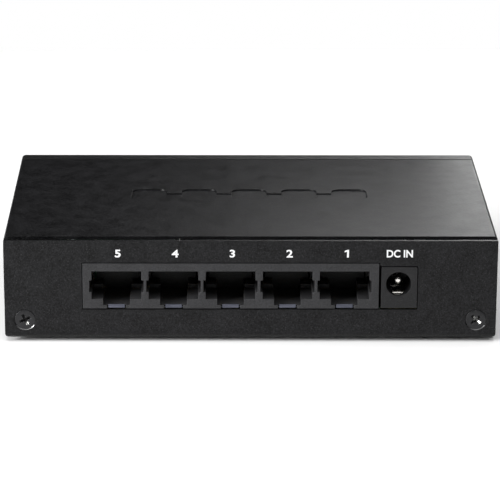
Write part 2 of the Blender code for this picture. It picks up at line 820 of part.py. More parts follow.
def make_discretes():
    for name, x, y in (("input_capacitor", 42.0, -5.0), ("output_capacitor", 31.0, 12.0)):
        can = turned(
            [
                (0, 7.7),
                (2.8, 7.7),
                (3.1, 7.4),
                (3.1, 2.2),
                (2.85, 1.9),
                (3.1, 1.6),
                (3.1, 0),
                (0, 0),
            ],
            (x, y, ON_BOARD),
        )
        finish(can, name, CAN_ALUMINIUM)
    coil = prism(rounded_rectangle(42.0, 7.0, 7.0, 7.0, 1.4), ON_BOARD, ON_BOARD + 3.2)
    cut(coil, rod((42.0, 7.0), 2.2, ON_BOARD + 2.8, ON_BOARD + 4, "Z", 20))
    finish(coil, "power_inductor", FERRITE)
    foot = prism(stadium(-17.0, 19.0, 4.8, 11.4), ON_BOARD, ON_BOARD + 0.6)
    fuse(foot, prism(stadium(-17.0, 19.0, 4.0, 10.6), ON_BOARD + 0.3, ON_BOARD + 3.5))
    finish(foot, "clock_crystal", NICKEL)
    for name, x in zip(LED_NAMES, LED_XS):
        lamp = box((x - 0.8, LED_Y - 0.4, ON_BOARD), (x + 0.8, LED_Y + 0.4, ON_BOARD + 0.8))
        finish(lamp, name, LED_RESIN)


make_chassis()
make_cover()
make_bezel()
make_light_guide()
make_feet()
make_rear_screws()
make_board()
make_board_fasteners()
make_jack_housing()
make_shield_plate()
for port in range(1, PORT_COUNT + 1):
    make_port_contacts(port)
make_power_jack()
make_chips()
make_discretes()

for part in PARTS.objects:
    if part.type == "MESH":
        part.data.shade_smooth()
        part.data.set_sharp_from_angle(angle=math.radians(30))
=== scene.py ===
"""A five-port desktop network switch: the looks of every piece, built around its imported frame. In metres."""

import math

import bmesh
import bpy
from mathutils import Matrix, Vector


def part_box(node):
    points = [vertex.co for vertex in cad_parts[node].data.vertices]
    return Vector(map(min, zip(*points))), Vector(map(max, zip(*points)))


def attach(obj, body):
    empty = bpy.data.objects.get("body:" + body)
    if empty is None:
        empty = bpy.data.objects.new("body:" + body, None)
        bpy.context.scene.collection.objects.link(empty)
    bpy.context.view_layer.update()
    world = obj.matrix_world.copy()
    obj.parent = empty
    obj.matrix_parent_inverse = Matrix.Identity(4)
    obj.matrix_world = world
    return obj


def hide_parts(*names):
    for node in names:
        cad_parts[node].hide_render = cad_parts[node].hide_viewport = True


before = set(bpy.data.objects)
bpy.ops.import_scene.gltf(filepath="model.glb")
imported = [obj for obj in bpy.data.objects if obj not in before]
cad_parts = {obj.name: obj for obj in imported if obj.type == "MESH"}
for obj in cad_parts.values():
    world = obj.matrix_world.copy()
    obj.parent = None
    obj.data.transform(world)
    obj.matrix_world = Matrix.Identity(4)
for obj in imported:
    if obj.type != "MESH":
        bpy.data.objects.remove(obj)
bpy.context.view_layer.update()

MM = 0.001


# ---- Bottom chassis ----
# The floor, rear panel, side returns and front flange are one sheet of 1 mm steel. It is punched
# flat, folded on a press brake with relief notches at the ends of its folds, and powder-coated.


def put_down():
    """Leaves edit mode and deselects everything."""
    current = bpy.context.view_layer.objects.active
    if current and current.mode == "EDIT":
        bpy.ops.object.mode_set(mode="OBJECT")
    bpy.ops.object.select_all(action="DESELECT")


def only(piece):
    """Leaves one piece selected and active, in object mode."""
    put_down()
    piece.select_set(True)
    bpy.context.view_layer.objects.active = piece
    return piece


def settle(piece, name=None):
    """Puts a piece's place, turn and size into its mesh, and names it."""
    if name:
        piece.name = name
        piece.data.name = name
    only(piece)
    bpy.ops.object.transform_apply(location=True, rotation=True, scale=True)
    return piece


def block(name, low, high):
    """A cube drawn out between two corners, ready to be shaped."""
    low, high = Vector(low), Vector(high)
    put_down()
    bpy.ops.mesh.primitive_cube_add(size=1, location=(low + high) / 2, scale=high - low)
    return settle(bpy.context.object, name)


def slab(name, x, half, ys, zs):
    """A block that reaches half its width to each side of x."""
    return block(name, (x - half, ys[0], zs[0]), (x + half, ys[1], zs[1]))


def blank(name, center, width, depth, turn=(0, 0, 0)):
    """A flat sheet about its middle, ready to be scored and folded."""
    put_down()
    bpy.ops.mesh.primitive_plane_add(size=1, location=center, rotation=turn)
    bpy.context.object.scale = (width, depth, 1)
    return settle(bpy.context.object, name)


def rod(name, center, radius, length, turn=(0, 0, 0), sides=48):
    """A round bar about its middle, ready to be shaped. Its own axis is Z until it is turned."""
    put_down()
    bpy.ops.mesh.primitive_cylinder_add(
        vertices=sides, radius=radius, depth=length, location=center, rotation=turn
    )
    return settle(bpy.context.object, name)


def dowel(name, x, z, radius, ys, sides=48):
    """A round bar along Y, between two depths."""
    return rod(name, (x, sum(ys) / 2, z), radius, ys[1] - ys[0], (math.pi / 2, 0, 0), sides)


def middle(part):
    """The middle of a point, an edge or a face in edit mode."""
    if isinstance(part, bmesh.types.BMVert):
        return part.co
    return sum((point.co for point in part.verts), Vector()) / len(part.verts)


def near(first, second):
    """Whether two places are the same to a few hundredths of a millimetre."""
    return abs(first - second) < 0.02 * MM


def anything(at, part):
    """The test that every point, edge or face passes."""
    return True


def runs(part, axis):
    """Whether an edge is more than a millimetre long along an axis."""
    return abs(getattr(part.verts[0].co - part.verts[1].co, axis)) > MM


def choose(piece, kind, wanted):
    """Opens a piece in edit mode with the points, edges or faces that pass the test selected."""
    only(piece)
    bpy.ops.object.mode_set(mode="EDIT")
    bpy.ops.mesh.select_mode(type=kind)
    bpy.ops.mesh.select_all(action="DESELECT")
    cage = bmesh.from_edit_mesh(piece.data)
    cage.normal_update()
    parts = {"VERT": cage.verts, "EDGE": cage.edges, "FACE": cage.faces}[kind]
    for part in parts:
        if wanted(middle(part), part):
            part.select_set(True)
    if kind == "VERT":
        cage.select_flush(True)
    bmesh.update_edit_mesh(piece.data)


def draw_out(x=0, y=0, z=0):
    """Extrudes what is selected."""
    bpy.ops.mesh.extrude_region_move(TRANSFORM_OT_translate={"value": (x, y, z)})


def round_off(radius, segments=6):
    """Rounds the selected edges, as a brake leaves a fold. One segment leaves a chamfer."""
    bpy.ops.mesh.bevel(offset=radius, segments=segments, affect="EDGES", clamp_overlap=False)


def slice_through(piece, wanted, at, normal):
    """Scores a line across the faces that pass the test, so that they can be folded or cut away."""
    choose(piece, "FACE", wanted)
    bpy.ops.mesh.bisect(plane_co=at, plane_no=normal)


def apply(piece, kind, **settings):
    """Adds a modifier, sets it and applies it."""
    only(piece)
    modifier = piece.modifiers.new(kind.title(), kind)
    for name, value in settings.items():
        setattr(modifier, name, value)
    bpy.ops.object.modifier_apply(modifier=modifier.name)
    return piece


def discard(piece):
    bpy.data.objects.remove(piece, do_unlink=True)


def combine(piece, tool, operation="DIFFERENCE"):
    """Cuts a tool's shape out of a piece, or welds it on with UNION, and throws the tool away."""
    apply(piece, "BOOLEAN", object=tool, operation=operation)
    discard(tool)
    return piece


def copy_to(piece, name, x=0.0, y=0.0, z=0.0):
    """A copy with its own mesh, moved over and named."""
    twin = piece.copy()
    twin.data = piece.data.copy()
    bpy.context.scene.collection.objects.link(twin)
    twin.location = (x, y, z)
    return settle(twin, name)


def joined(pieces):
    """Several pieces as one mesh, in the first one's name."""
    only(pieces[0])
    for piece in pieces:
        piece.select_set(True)
    bpy.ops.object.join()
    return pieces[0]


def soften(piece, width, segments=2, angle=35):
    """Rounds every hard edge a little, and shades the faces as flats with rounded edges."""
    choose(piece, "FACE", anything)
    bpy.ops.mesh.remove_doubles(threshold=0.003 * MM)
    bpy.ops.mesh.dissolve_degenerate(threshold=0.003 * MM)
    choose(piece, "FACE", lambda at, part: len(part.verts) > 4)
    bpy.ops.mesh.quads_convert_to_tris()
    apply(
        piece,
        "BEVEL",
        width=width,
        segments=segments,
        limit_method="ANGLE",
        angle_limit=math.radians(angle),
        use_clamp_overlap=False,
        loop_slide=False,
    )
    choose(piece, "FACE", anything)
    bpy.ops.mesh.dissolve_limited(angle_limit=math.radians(0.3))
    choose(piece, "FACE", lambda at, part: len(part.verts) > 4)
    bpy.ops.mesh.quads_convert_to_tris()
    only(piece)
    bpy.ops.object.shade_smooth_by_angle(angle=math.radians(angle))
    return apply(piece, "WEIGHTED_NORMAL", keep_sharp=True, weight=100)


def dress(piece, finishes, pick=None):
    """Fills a piece's material slots, and gives each face the slot that the pick returns."""
    while len(piece.data.materials) < len(finishes):
        piece.data.materials.append(None)
    for index, finish in enumerate(finishes):
        piece.data.materials[index] = finish
    if pick:
        for face in piece.data.polygons:
            face.material_index = pick(face)
    return piece


def install(piece, finishes, body="case", replaces=()):
    """Gives a finished piece its materials and its place in the assembly."""
    dress(piece, finishes)
    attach(piece, body)
    if replaces:
        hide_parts(*replaces)
    return piece


def new_group(name, inputs, outputs):
    """An empty shader group with its sockets, and its input and output nodes."""
    group = bpy.data.node_groups.new(name, "ShaderNodeTree")
    for label, value in inputs.items():
        socket = group.interface.new_socket(name=label, in_out="INPUT", socket_type="NodeSocketFloat")
        socket.default_value = value
    for label in outputs:
        group.interface.new_socket(name=label, in_out="OUTPUT", socket_type="NodeSocketFloat")
    return group, group.nodes.new("NodeGroupInput"), group.nodes.new("NodeGroupOutput")


def node(tree, kind, **settings):
    """A shader node with its settings."""
    made = tree.nodes.new("ShaderNode" + kind)
    for name, value in settings.items():
        setattr(made, name, value)
    return made


def object_place(tree):
    return node(tree, "TexCoord").outputs["Object"]


def figure(tree, operation, first, second=0.5, third=0.5):
    """A Math node fed with sockets or numbers."""
    made = node(tree, "Math", operation=operation)
    for socket, value in zip(made.inputs, (first, second, third)):
        if isinstance(value, bpy.types.NodeSocket):
            tree.links.new(value, socket)
        else:
            socket.default_value = value
    return made.outputs[0]


def spread(tree, value, from_low, from_high, to_low=0.0, to_high=1.0):
    """A value's range stretched to another, held at its ends."""
    made = node(tree, "MapRange")
    tree.links.new(value, made.inputs["Value"])
    for label, number in (
        ("From Min", from_low),
        ("From Max", from_high),
        ("To Min", to_low),
        ("To Max", to_high),
    ):
        made.inputs[label].default_value = number
    return made.outputs["Result"]


def noise(tree, grain, detail=2.0, stretch=(1, 1, 1)):
    """Noise in lumps about one grain wide, in metres, drawn out along the axes by stretch."""
    mapping = node(tree, "Mapping")
    mapping.inputs["Scale"].default_value = [1 / value for value in stretch]
    tree.links.new(object_place(tree), mapping.inputs["Vector"])
    made = node(tree, "TexNoise")
    made.inputs["Scale"].default_value = 1 / grain
    made.inputs["Detail"].default_value = detail
    tree.links.new(mapping.outputs["Vector"], made.inputs["Vector"])
    return made.outputs["Fac"]


def grain_group():
    """Fine moulded or coated texture: a height for bump, a mottle and scattered bright specks."""
    group, given, out = new_group(
        "surface_grain", {"Grain": 0.35 * MM}, ("Height", "Mottle", "Specks")
    )
    place = object_place(group)
    size = figure(group, "DIVIDE", 1.0, given.outputs["Grain"])
    layers = []
    for factor, detail in ((1.0, 2.0), (0.1, 2.0), (1.7, 0.0)):
        layer = node(group, "TexNoise")
        layer.inputs["Detail"].default_value = detail
        group.links.new(place, layer.inputs["Vector"])
        group.links.new(figure(group, "MULTIPLY", size, factor), layer.inputs["Scale"])
        layers.append(layer.outputs["Fac"])
    group.links.new(spread(group, layers[0], 0.3, 0.7), out.inputs["Height"])
    group.links.new(spread(group, layers[1], 0.3, 0.7), out.inputs["Mottle"])
    group.links.new(spread(group, layers[2], 0.66, 0.76), out.inputs["Specks"])
    return group


def edge_group():
    """Where edges are lightened, partly as rubbed wear and partly as a painted edge highlight: 0 on the flats,
    up to 1 on outer edges.
    """
    group, given, out = new_group("edge_wear_and_highlight", {"Reach": 0.3 * MM}, ("Wear_and_Highlight",))
    bevel = node(group, "Bevel", samples=4)
    group.links.new(given.outputs["Reach"], bevel.inputs["Radius"])
    facing = node(group, "VectorMath", operation="DOT_PRODUCT")
    group.links.new(bevel.outputs["Normal"], facing.inputs[0])
    group.links.new(node(group, "NewGeometry").outputs["Normal"], facing.inputs[1])
    edge = spread(group, facing.outputs["Value"], 0.995, 0.8)
    patches = spread(group, noise(group, 2.5 * MM, 4.0), 0.35, 0.65, 0.2, 1.0)
    group.links.new(figure(group, "MULTIPLY", edge, patches), out.inputs["Wear_and_Highlight"])
    return group


surface_grain = grain_group()
edge_wear_and_highlight = edge_group()


def use(tree, group, **values):
    """The outputs of a shared group in a material, with its inputs set."""
    made = tree.nodes.new("ShaderNodeGroup")
    made.node_tree = group
    for label, value in values.items():
        made.inputs[label].default_value = value
    return made.outputs


def new_finish(name, roughness, metallic=0.0, specular=0.5):
    """A material with its plain numbers set on its shader."""
    finish = bpy.data.materials.new(name)
    finish.use_nodes = True
    shader = finish.node_tree.nodes["Principled BSDF"]
    shader.inputs["Roughness"].default_value = roughness
    shader.inputs["Metallic"].default_value = metallic
    shader.inputs["Specular IOR Level"].default_value = specular
    return finish, finish.node_tree, shader


def blended(tree, amount, first, second):
    """A colour between two colours or sockets."""
    made = node(tree, "Mix", data_type="RGBA")
    tree.links.new(amount, made.inputs["Factor"])
    ends = [s for s in made.inputs if s.type == "RGBA"]
    for socket, value in zip(ends, (first, second)):
        if isinstance(value, bpy.types.NodeSocket):
            tree.links.new(value, socket)
        else:
            socket.default_value = (*value, 1.0)
    return [s for s in made.outputs if s.type == "RGBA"][0]


def bump(tree, shader, height, depth):
    """Raises the surface by a height that runs from 0 to 1, depth metres tall."""
    made = node(tree, "Bump")
    made.inputs["Distance"].default_value = depth
    made.inputs["Strength"].default_value = 1.0
    tree.links.new(height, made.inputs["Height"])
    tree.links.new(made.outputs["Normal"], shader.inputs["Normal"])


def patterned(tree, shader, amount, first, second, gloss):
    """A colour and a roughness that follow one pattern, between two values each."""
    tree.links.new(blended(tree, amount, first, second), shader.inputs["Base Color"])
    tree.links.new(spread(tree, amount, 0.0, 1.0, *gloss), shader.inputs["Roughness"])


def mottled(name, first, second, gloss, grain, depth, metallic=0.0, specular=0.5):
    """A finish whose colour and roughness drift between two values, over a fine grain."""
    finish, tree, shader = new_finish(name, gloss[0], metallic, specular)
    texture = use(tree, surface_grain, Grain=grain)
    patterned(tree, shader, texture["Mottle"], first, second, gloss)
    bump(tree, shader, texture["Height"], depth)
    return finish


def coated(name, dark, light, rubbed, roughness, grain, depth, specular):
    """A black coat or moulding: fine grain, slight mottle, bright specks, and edges lightened partly as rubbed
    wear and partly as a painted edge highlight.
    """
    finish, tree, shader = new_finish(name, roughness, specular=specular)
    texture = use(tree, surface_grain, Grain=grain)
    fine = figure(tree, "MULTIPLY", texture["Height"], 0.7)
    tone = figure(tree, "MULTIPLY_ADD", texture["Mottle"], 0.3, fine)
    base = blended(tree, tone, dark, light)
    base = blended(tree, figure(tree, "MULTIPLY", texture["Specks"], 0.5), base, rubbed)
    # The lighter colour on the edges is partly rubbed wear, partly a painted edge highlight.
    worn_and_lit = use(tree, edge_wear_and_highlight)["Wear_and_Highlight"]
    base = blended(tree, figure(tree, "MULTIPLY", worn_and_lit, 0.6), base, rubbed)
    tree.links.new(base, shader.inputs["Base Color"])
    gloss = spread(tree, texture["Mottle"], 0.0, 1.0, roughness - 0.04, roughness + 0.04)
    gloss = figure(tree, "MULTIPLY_ADD", worn_and_lit, -0.1, gloss)
    tree.links.new(gloss, shader.inputs["Roughness"])
    bump(tree, shader, texture["Height"], depth)
    return finish


powder_coat = coated(
    name="black_powder_coat",
    dark=(0.0005, 0.0005, 0.0005),
    light=(0.0155, 0.0155, 0.0168),
    rubbed=(0.04, 0.04, 0.042),
    roughness=0.34,
    grain=0.45 * MM,
    depth=0.009 * MM,
    specular=0.165,
)

low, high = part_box("bottom_chassis")
jacks_low, jacks_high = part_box("rj45_housing")
dc_low, dc_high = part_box("dc_jack_body")
screw_low, screw_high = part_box("rear_screw_right")
steel = 1.0 * MM
fold_r = 1.4 * MM
corner_r = 1.1 * MM
floor_half = 59.2 * MM
return_top = 9.0 * MM
return_ys = (-34.0 * MM, 31.0 * MM)
flange_half = 56.0 * MM
flange_top = 7.5 * MM
relief = 1.0 * MM
screw_x = (screw_low.x + screw_high.x) / 2
screw_z = (screw_low.z + screw_high.z) / 2

# The rear panel is a plate on edge, and the floor is drawn out of its lower edge.
chassis = blank(
    "folded_chassis",
    (0, low.y, (low.z + high.z) / 2),
    high.x - low.x,
    high.z - low.z,
    (math.pi / 2, 0, 0),
)
choose(chassis, "EDGE", lambda at, part: near(at.z, low.z))
draw_out(y=high.y - low.y)
choose(chassis, "EDGE", lambda at, part: near(at.z, low.z) and near(at.y, low.y))
round_off(fold_r)


def off_panel(at, part):
    return at.y > low.y + 0.01 * MM


def outer_strip(at, part):
    return abs(at.x) > floor_half and off_panel(at, part)


for side in (-1, 1):
    slice_through(chassis, off_panel, (side * floor_half, 0, 0), (1, 0, 0))
slice_through(chassis, outer_strip, (0, low.y + steel, 0), (0, 1, 0))
choose(chassis, "FACE", lambda at, part: outer_strip(at, part) and at.y > low.y + steel)
bpy.ops.mesh.delete(type="FACE")


def on_floor(at, part):
    return near(at.z, low.z) and part.normal.z < -0.9


for y in (return_ys[0] - relief, *return_ys):
    slice_through(chassis, on_floor, (0, y, 0), (0, 1, 0))
for side in (-1, 1):
    slice_through(chassis, on_floor, (side * flange_half, 0, 0), (1, 0, 0))


def notch(at, part):
    """The relief at the rear end of each side fold, and the corner let out of the front."""
    if not on_floor(at, part) or abs(at.x) < flange_half:
        return False
    return at.y > return_ys[1] or return_ys[0] - relief < at.y < return_ys[0]


choose(chassis, "FACE", notch)
bpy.ops.mesh.delete(type="FACE")


def side_edge(at, part):
    return near(abs(at.x), floor_half) and near(at.z, low.z) and return_ys[0] < at.y < return_ys[1]


def front_edge(at, part):
    return near(at.y, high.y) and near(at.z, low.z)


choose(chassis, "EDGE", side_edge)
draw_out(z=return_top - low.z)
choose(chassis, "EDGE", front_edge)
draw_out(z=flange_top - low.z)
choose(chassis, "EDGE", lambda at, part: side_edge(at, part) or front_edge(at, part))
round_off(fold_r)
apply(chassis, "SOLIDIFY", thickness=steel, offset=-1, use_even_offset=True)

# The panel's lower corners are rounded with a square tool that has a quarter-round hollow.
punch_ys = (low.y - steel, low.y + 2 * steel)
through_ys = (low.y - 4 * steel, low.y + 4 * steel)
for side in (-1, 1):
    x = side * high.x
    tool = slab("corner_tool", x, corner_r, punch_ys, (low.z - corner_r, low.z + corner_r))
    hollow = dowel("hollow", x - side * corner_r, low.z + corner_r, corner_r, through_ys, 64)
    combine(chassis, combine(tool, hollow))

# One stepped opening takes both jacks, and each corner has a countersunk screw hole.
clear = 0.15 * MM
sill = jacks_low.z - 2 * clear
jacks_opening = block(
    "jacks_opening",
    (jacks_low.x - clear, punch_ys[0], sill),
    ((jacks_high.x + dc_low.x) / 2, punch_ys[1], jacks_high.z + clear),
)
dc_opening = block(
    "dc_opening",
    (dc_low.x - 2 * clear, punch_ys[0], sill),
    (dc_high.x + clear, punch_ys[1], dc_high.z + clear),
)
combine(chassis, combine(jacks_opening, dc_opening, "UNION"))
sink_r = 2.76 * MM
shank_r = 1.6 * MM
for side in (-1, 1):
    put_down()
    bpy.ops.mesh.primitive_cone_add(
        vertices=64,
        radius1=sink_r + 0.3 * (sink_r - shank_r),
        radius2=shank_r,
        depth=1.3 * steel,
        location=(side * screw_x, low.y + 0.35 * steel, screw_z),
        rotation=(-math.pi / 2, 0, 0),
    )
    combine(chassis, settle(bpy.context.object, "countersink"))
    hole = dowel("screw_hole", side * screw_x, screw_z, shank_r - 0.05 * MM, through_ys)
    combine(chassis, hole)

# Keyholes in the floor hang the case on two wall screws, and the flange has two clip windows.
keyhole_x = 30 * MM
keyhole_r = 3.6 * MM
neck_ys = (2 * MM, 8 * MM)
neck_r = 1.8 * MM
clip_x = 42 * MM
clip_half = 4.2 * MM
clip_zs = (3.6 * MM, 6.2 * MM)
for side in (-1, 1):
    x = side * keyhole_x
    hole = rod("keyhole", (x, neck_ys[0], low.z), keyhole_r, 4 * steel)
    neck = slab("neck", x, neck_r, neck_ys, (low.z - 2 * steel, low.z + 2 * steel))
    combine(hole, neck, "UNION")
    combine(hole, rod("neck_end", (x, neck_ys[1], low.z), neck_r, 4 * steel), "UNION")
    combine(chassis, hole)
    flange_ys = (high.y - 2 * steel, high.y + steel)
    combine(chassis, slab("clip_window", side * clip_x, clip_half, flange_ys, clip_zs))
soften(chassis, 0.12 * MM)

# The screw heads have rubbed the coat thin in the countersinks. Only the faces that slant up get
# the bright bare metal, so it is partly wear and partly a painted highlight.
rubbed_and_lit_coat = mottled(
    name="rubbed_and_lit_countersink",
    first=(0.05, 0.05, 0.05),
    second=(0.25, 0.25, 0.25),
    gloss=(0.4, 0.25),
    grain=0.4 * MM,
    depth=0.01 * MM,
    metallic=0.8,
)


# Picks the slanted, upward-facing faces of each countersink: rubbed coat and a painted highlight.
def rubbed(face):
    out = math.hypot(abs(face.center.x) - screw_x, face.center.z - screw_z)
    slanted = 0.2 < -face.normal.y < 0.95 and face.normal.z > 0.35
    return int(out < sink_r + 0.1 * MM and slanted and face.center.y < low.y + steel)


dress(chassis, [powder_coat, rubbed_and_lit_coat], rubbed)
install(chassis, [powder_coat, rubbed_and_lit_coat], replaces=["bottom_chassis"])


# ---- Top cover ----
# Roof and sides are folded from one 0.8 mm sheet, with a screw tab turned in at each rear corner.
# The slots and holes are punched, and the five linked squares are pressed into the roof.

low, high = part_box("top_cover")
sheet = 0.8 * MM
roof_rear = low.y + 1.6 * MM
extension_top = high.z - 1.4 * MM
tab_zs = (2.4 * MM, 9.6 * MM)
tab_inner = 50.8 * MM
bend_r = 1.0 * MM

cover = blank(
    "folded_cover", (0, (roof_rear + high.y) / 2, high.z), high.x - low.x, high.y - roof_rear
)
choose(cover, "EDGE", lambda at, part: near(abs(at.x), high.x))
draw_out(z=low.z - high.z)
choose(cover, "EDGE", lambda at, part: near(abs(at.x), high.x) and near(at.z, high.z))
round_off(bend_r)


def on_side(at, part):
    return abs(part.normal.x) > 0.99


slice_through(cover, on_side, (0, 0, extension_top), (0, 0, 1))


def side_rear_edge(at, part):
    return near(abs(at.x), high.x) and near(at.y, roof_rear) and at.z < extension_top


choose(cover, "EDGE", side_rear_edge)
draw_out(y=low.y - roof_rear)


def on_extension(at, part):
    return on_side(at, part) and at.y < roof_rear


def around_tab(at, part):
    """What is cut away under the screw tab, and the relief above it."""
    return on_extension(at, part) and (at.z < tab_zs[0] or tab_zs[1] < at.z < tab_zs[1] + relief)


for z in (tab_zs[0], tab_zs[1], tab_zs[1] + relief):
    slice_through(cover, on_extension, (0, 0, z), (0, 0, 1))
choose(cover, "FACE", around_tab)
bpy.ops.mesh.delete(type="FACE")


def tab_edge(at, part):
    return near(at.y, low.y) and tab_zs[0] < at.z < tab_zs[1] and near(abs(at.x), high.x)


for side in (-1, 1):
    choose(cover, "EDGE", lambda at, part: tab_edge(at, part) and at.x * side > 0)
    draw_out(x=side * (tab_inner - high.x))
choose(cover, "EDGE", tab_edge)
round_off(bend_r, 4)
apply(cover, "SOLIDIFY", thickness=sheet, offset=-1, use_even_offset=True)
for side in (-1, 1):
    combine(cover, dowel("tapped_hole", side * screw_x, screw_z, 1.4 * MM, through_ys))

vent_half = 1.0 * MM
vent_l = 10.0 * MM
vent_pitch = 5.0 * MM
vent_z = 17.0 * MM
straight = vent_l / 2 - vent_half
slots = []
for i in range(9):
    y = (i - 4) * vent_pitch
    slot_ys = (y - vent_half, y + vent_half)
    slot = slab(f"slot_{i}", 0, high.x + steel, slot_ys, (vent_z - straight, vent_z + straight))
    choose(slot, "FACE", lambda at, part: abs(part.normal.z) > 0.9)
    bpy.ops.mesh.extrude_faces_move(
        MESH_OT_extrude_faces_indiv={}, TRANSFORM_OT_shrink_fatten={"value": vent_half}
    )
    choose(
        slot,
        "EDGE",
        lambda at, part: near(abs(at.z - vent_z), vent_l / 2) and near(abs(at.y - y), vent_half),
    )
    round_off(vent_half, 8)
    bpy.ops.mesh.select_all(action="SELECT")
    bpy.ops.mesh.remove_doubles(threshold=0.01 * MM)
    slots.append(slot)
combine(cover, joined(slots))

ornament_depth = 0.42 * MM
ornament_y = 1.0 * MM
square = 9.0 * MM
square_pitch = 12.8 * MM
square_ys = (ornament_y - square / 2, ornament_y + square / 2)
link_ys = (ornament_y - 0.8 * MM, ornament_y + 0.8 * MM)
press_zs = (high.z - ornament_depth, high.z + steel)
link = slab("link", 0, 2 * square_pitch, link_ys, press_zs)
for i in range(-2, 3):
    stamp = slab("stamp", i * square_pitch, square / 2, square_ys, press_zs)
    choose(stamp, "EDGE", lambda at, part: runs(part, "z"))
    round_off(2.2 * MM, 8)
    combine(link, stamp, "UNION")
combine(cover, link)
soften(cover, 0.06 * MM)
install(cover, [powder_coat], replaces=["top_cover"])


# ---- Rear markings ----
# The port numbers and the power inlet's plain label are pad-printed in white ink, a few
# hundredths of a millimetre thick, on the coat of the rear panel.

ink, tree, shader = new_finish("white_ink", 0.55)
thin = spread(tree, noise(tree, 0.25 * MM, 3.0), 0.35, 0.7)
tree.links.new(blended(tree, thin, (0.9, 0.9, 0.9), (0.75, 0.76, 0.77)), shader.inputs["Base Color"])
bump(tree, shader, noise(tree, 0.2 * MM), 0.01 * MM)

panel_low, panel_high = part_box("bottom_chassis")
port_pitch = 13.97 * MM
port_row_x = (jacks_low.x + jacks_high.x) / 2 - 0.05 * MM
label_z = 22.9 * MM
label_shift = 0.4 * MM
cap_height = 1.97 * MM
numeral_stretch = 1.22
ink_depth = 0.03 * MM
boldness = 0.026
flag_reach, flag_drop, flag_overlap, flag_slant = 0.17, 0.14, 0.05, 0.1


def port_x(number):
    """Port 1 is nearest the power jack and port 5 is furthest from it."""
    return port_row_x + (3 - number) * port_pitch


def print_on_panel(name, words, x, width=None, flag=False):
    """Words typed flat, made a mesh, stood up against the panel and set to size."""
    put_down()
    bpy.ops.object.text_add()
    text = bpy.context.object
    text.data.body = words
    text.data.align_x = "CENTER"
    text.data.align_y = "CENTER"
    text.data.offset = boldness
    text.data.extrude = 0.01
    text.data.resolution_u = 4
    bpy.ops.object.convert(target="MESH")
    label = bpy.context.object
    choose(label, "FACE", anything)
    bpy.ops.mesh.remove_doubles(threshold=0.001)
    bpy.ops.mesh.normals_make_consistent(inside=False)
    only(label)
    spots = [Vector(corner) for corner in label.bound_box]
    corner = Vector((spots[0].x, spots[6].y, spots[6].z))
    rise = cap_height / label.dimensions.y
    run = width / label.dimensions.x if width else numeral_stretch * rise
    if flag:
        stroke = block(
            "flag",
            (corner.x - flag_reach, corner.y - flag_drop, -corner.z),
            (corner.x + flag_overlap, corner.y, corner.z),
        )
        choose(stroke, "FACE", lambda at, part: part.normal.x < -0.9)
        bpy.ops.transform.translate(value=(0, -flag_slant, 0))
        combine(label, stroke, "UNION")
    label.scale = (run, cap_height / label.dimensions.y, ink_depth / label.dimensions.z)
    label.rotation_euler = (math.pi / 2, 0, 0)
    settle(label, name)
    spots = [Vector(corner) for corner in label.bound_box]
    centre = (spots[0] + spots[6]) / 2
    label.location = Vector((x, panel_low.y - ink_depth / 2 + 0.002 * MM, label_z)) - centre
    settle(label)
    return install(label, [ink])


for number in range(1, 6):
    print_on_panel(f"port_number_{number}", str(number), port_x(number) + label_shift, flag=number == 1)
print_on_panel("power_label", "DC IN", (dc_low.x + dc_high.x) / 2, 6.4 * MM)


# ---- Front bezel and light guide ----
# The front is one ABS moulding with a fine spark-eroded face, held by two snap hooks. Six arms of
# clear polycarbonate on one bar carry the lamps' light from the board to its windows.

bezel_abs = coated(
    name="black_abs",
    dark=(0.006, 0.006, 0.0064),
    light=(0.008, 0.008, 0.0085),
    rubbed=(0.02, 0.02, 0.021),
    roughness=0.4,
    grain=0.15 * MM,
    depth=0.008 * MM,
    specular=0.4,
)
low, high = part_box("front_bezel")
rear = 33.4 * MM
wall = 2.0 * MM
bezel = block("moulded_bezel", (low.x, rear, low.z), high)
choose(bezel, "EDGE", lambda at, part: runs(part, "y"))
round_off(bend_r, 6)
choose(bezel, "FACE", lambda at, part: part.normal.y > 0.9)
bpy.ops.mesh.region_to_loop()
round_off(0.5 * MM, 4)
pocket = block(
    "pocket",
    (low.x + wall, rear - wall, low.z + wall),
    (high.x - wall, high.y - wall, high.z - wall),
)
combine(bezel, pocket)
light_z = 12.0 * MM
lamp_nodes = ("power_led", "port_1_led", "port_2_led", "port_3_led", "port_4_led", "port_5_led")
lamp_xs = [(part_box(name)[0].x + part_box(name)[1].x) / 2 for name in lamp_nodes]
window_half = 1.75 * MM
window_ys = (high.y - 2 * wall, high.y + wall)
window_zs = (light_z - 1.05 * MM, light_z + 1.05 * MM)
windows = []
for x in lamp_xs:
    window = slab("window", x, window_half, window_ys, window_zs)
    choose(window, "EDGE", lambda at, part: runs(part, "y"))
    round_off(0.5 * MM, 4)
    windows.append(window)
combine(bezel, joined(windows))
lip_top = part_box("top_cover")[1].z - sheet - 0.3 * MM
lip_ys = (low.y + 0.3 * MM, high.y - MM)
combine(bezel, slab("lip", 0, 50 * MM, lip_ys, (lip_top - 1.1 * MM, lip_top)), "UNION")
flange_inner = panel_high.y - steel
hook_half = 3.5 * MM
barb_top = 6.6 * MM
for side in (-1, 1):
    x = side * clip_x
    hook = slab("hook", x, hook_half, (low.y, high.y - MM), (4.0 * MM, 5.6 * MM))
    barb = slab("barb", x, hook_half, (low.y, flange_inner - 0.3 * MM), (5.0 * MM, barb_top))
    choose(barb, "EDGE", lambda at, part: near(at.y, low.y) and near(at.z, barb_top))
    round_off(1.1 * MM, 1)
    combine(bezel, combine(hook, barb, "UNION"), "UNION")
soften(bezel, 0.08 * MM)
install(bezel, [bezel_abs], replaces=["front_bezel"])

clear_guide, tree, shader = new_finish("clear_polycarbonate", 0.08)
shader.inputs["Transmission Weight"].default_value = 1.0
shader.inputs["IOR"].default_value = 1.58
haze = spread(tree, noise(tree, 1.5 * MM, 3.0), 0.3, 0.7)
patterned(tree, shader, haze, (0.93, 0.95, 0.96), (0.85, 0.88, 0.9), (0.05, 0.14))
bump(tree, shader, haze, 0.01 * MM)

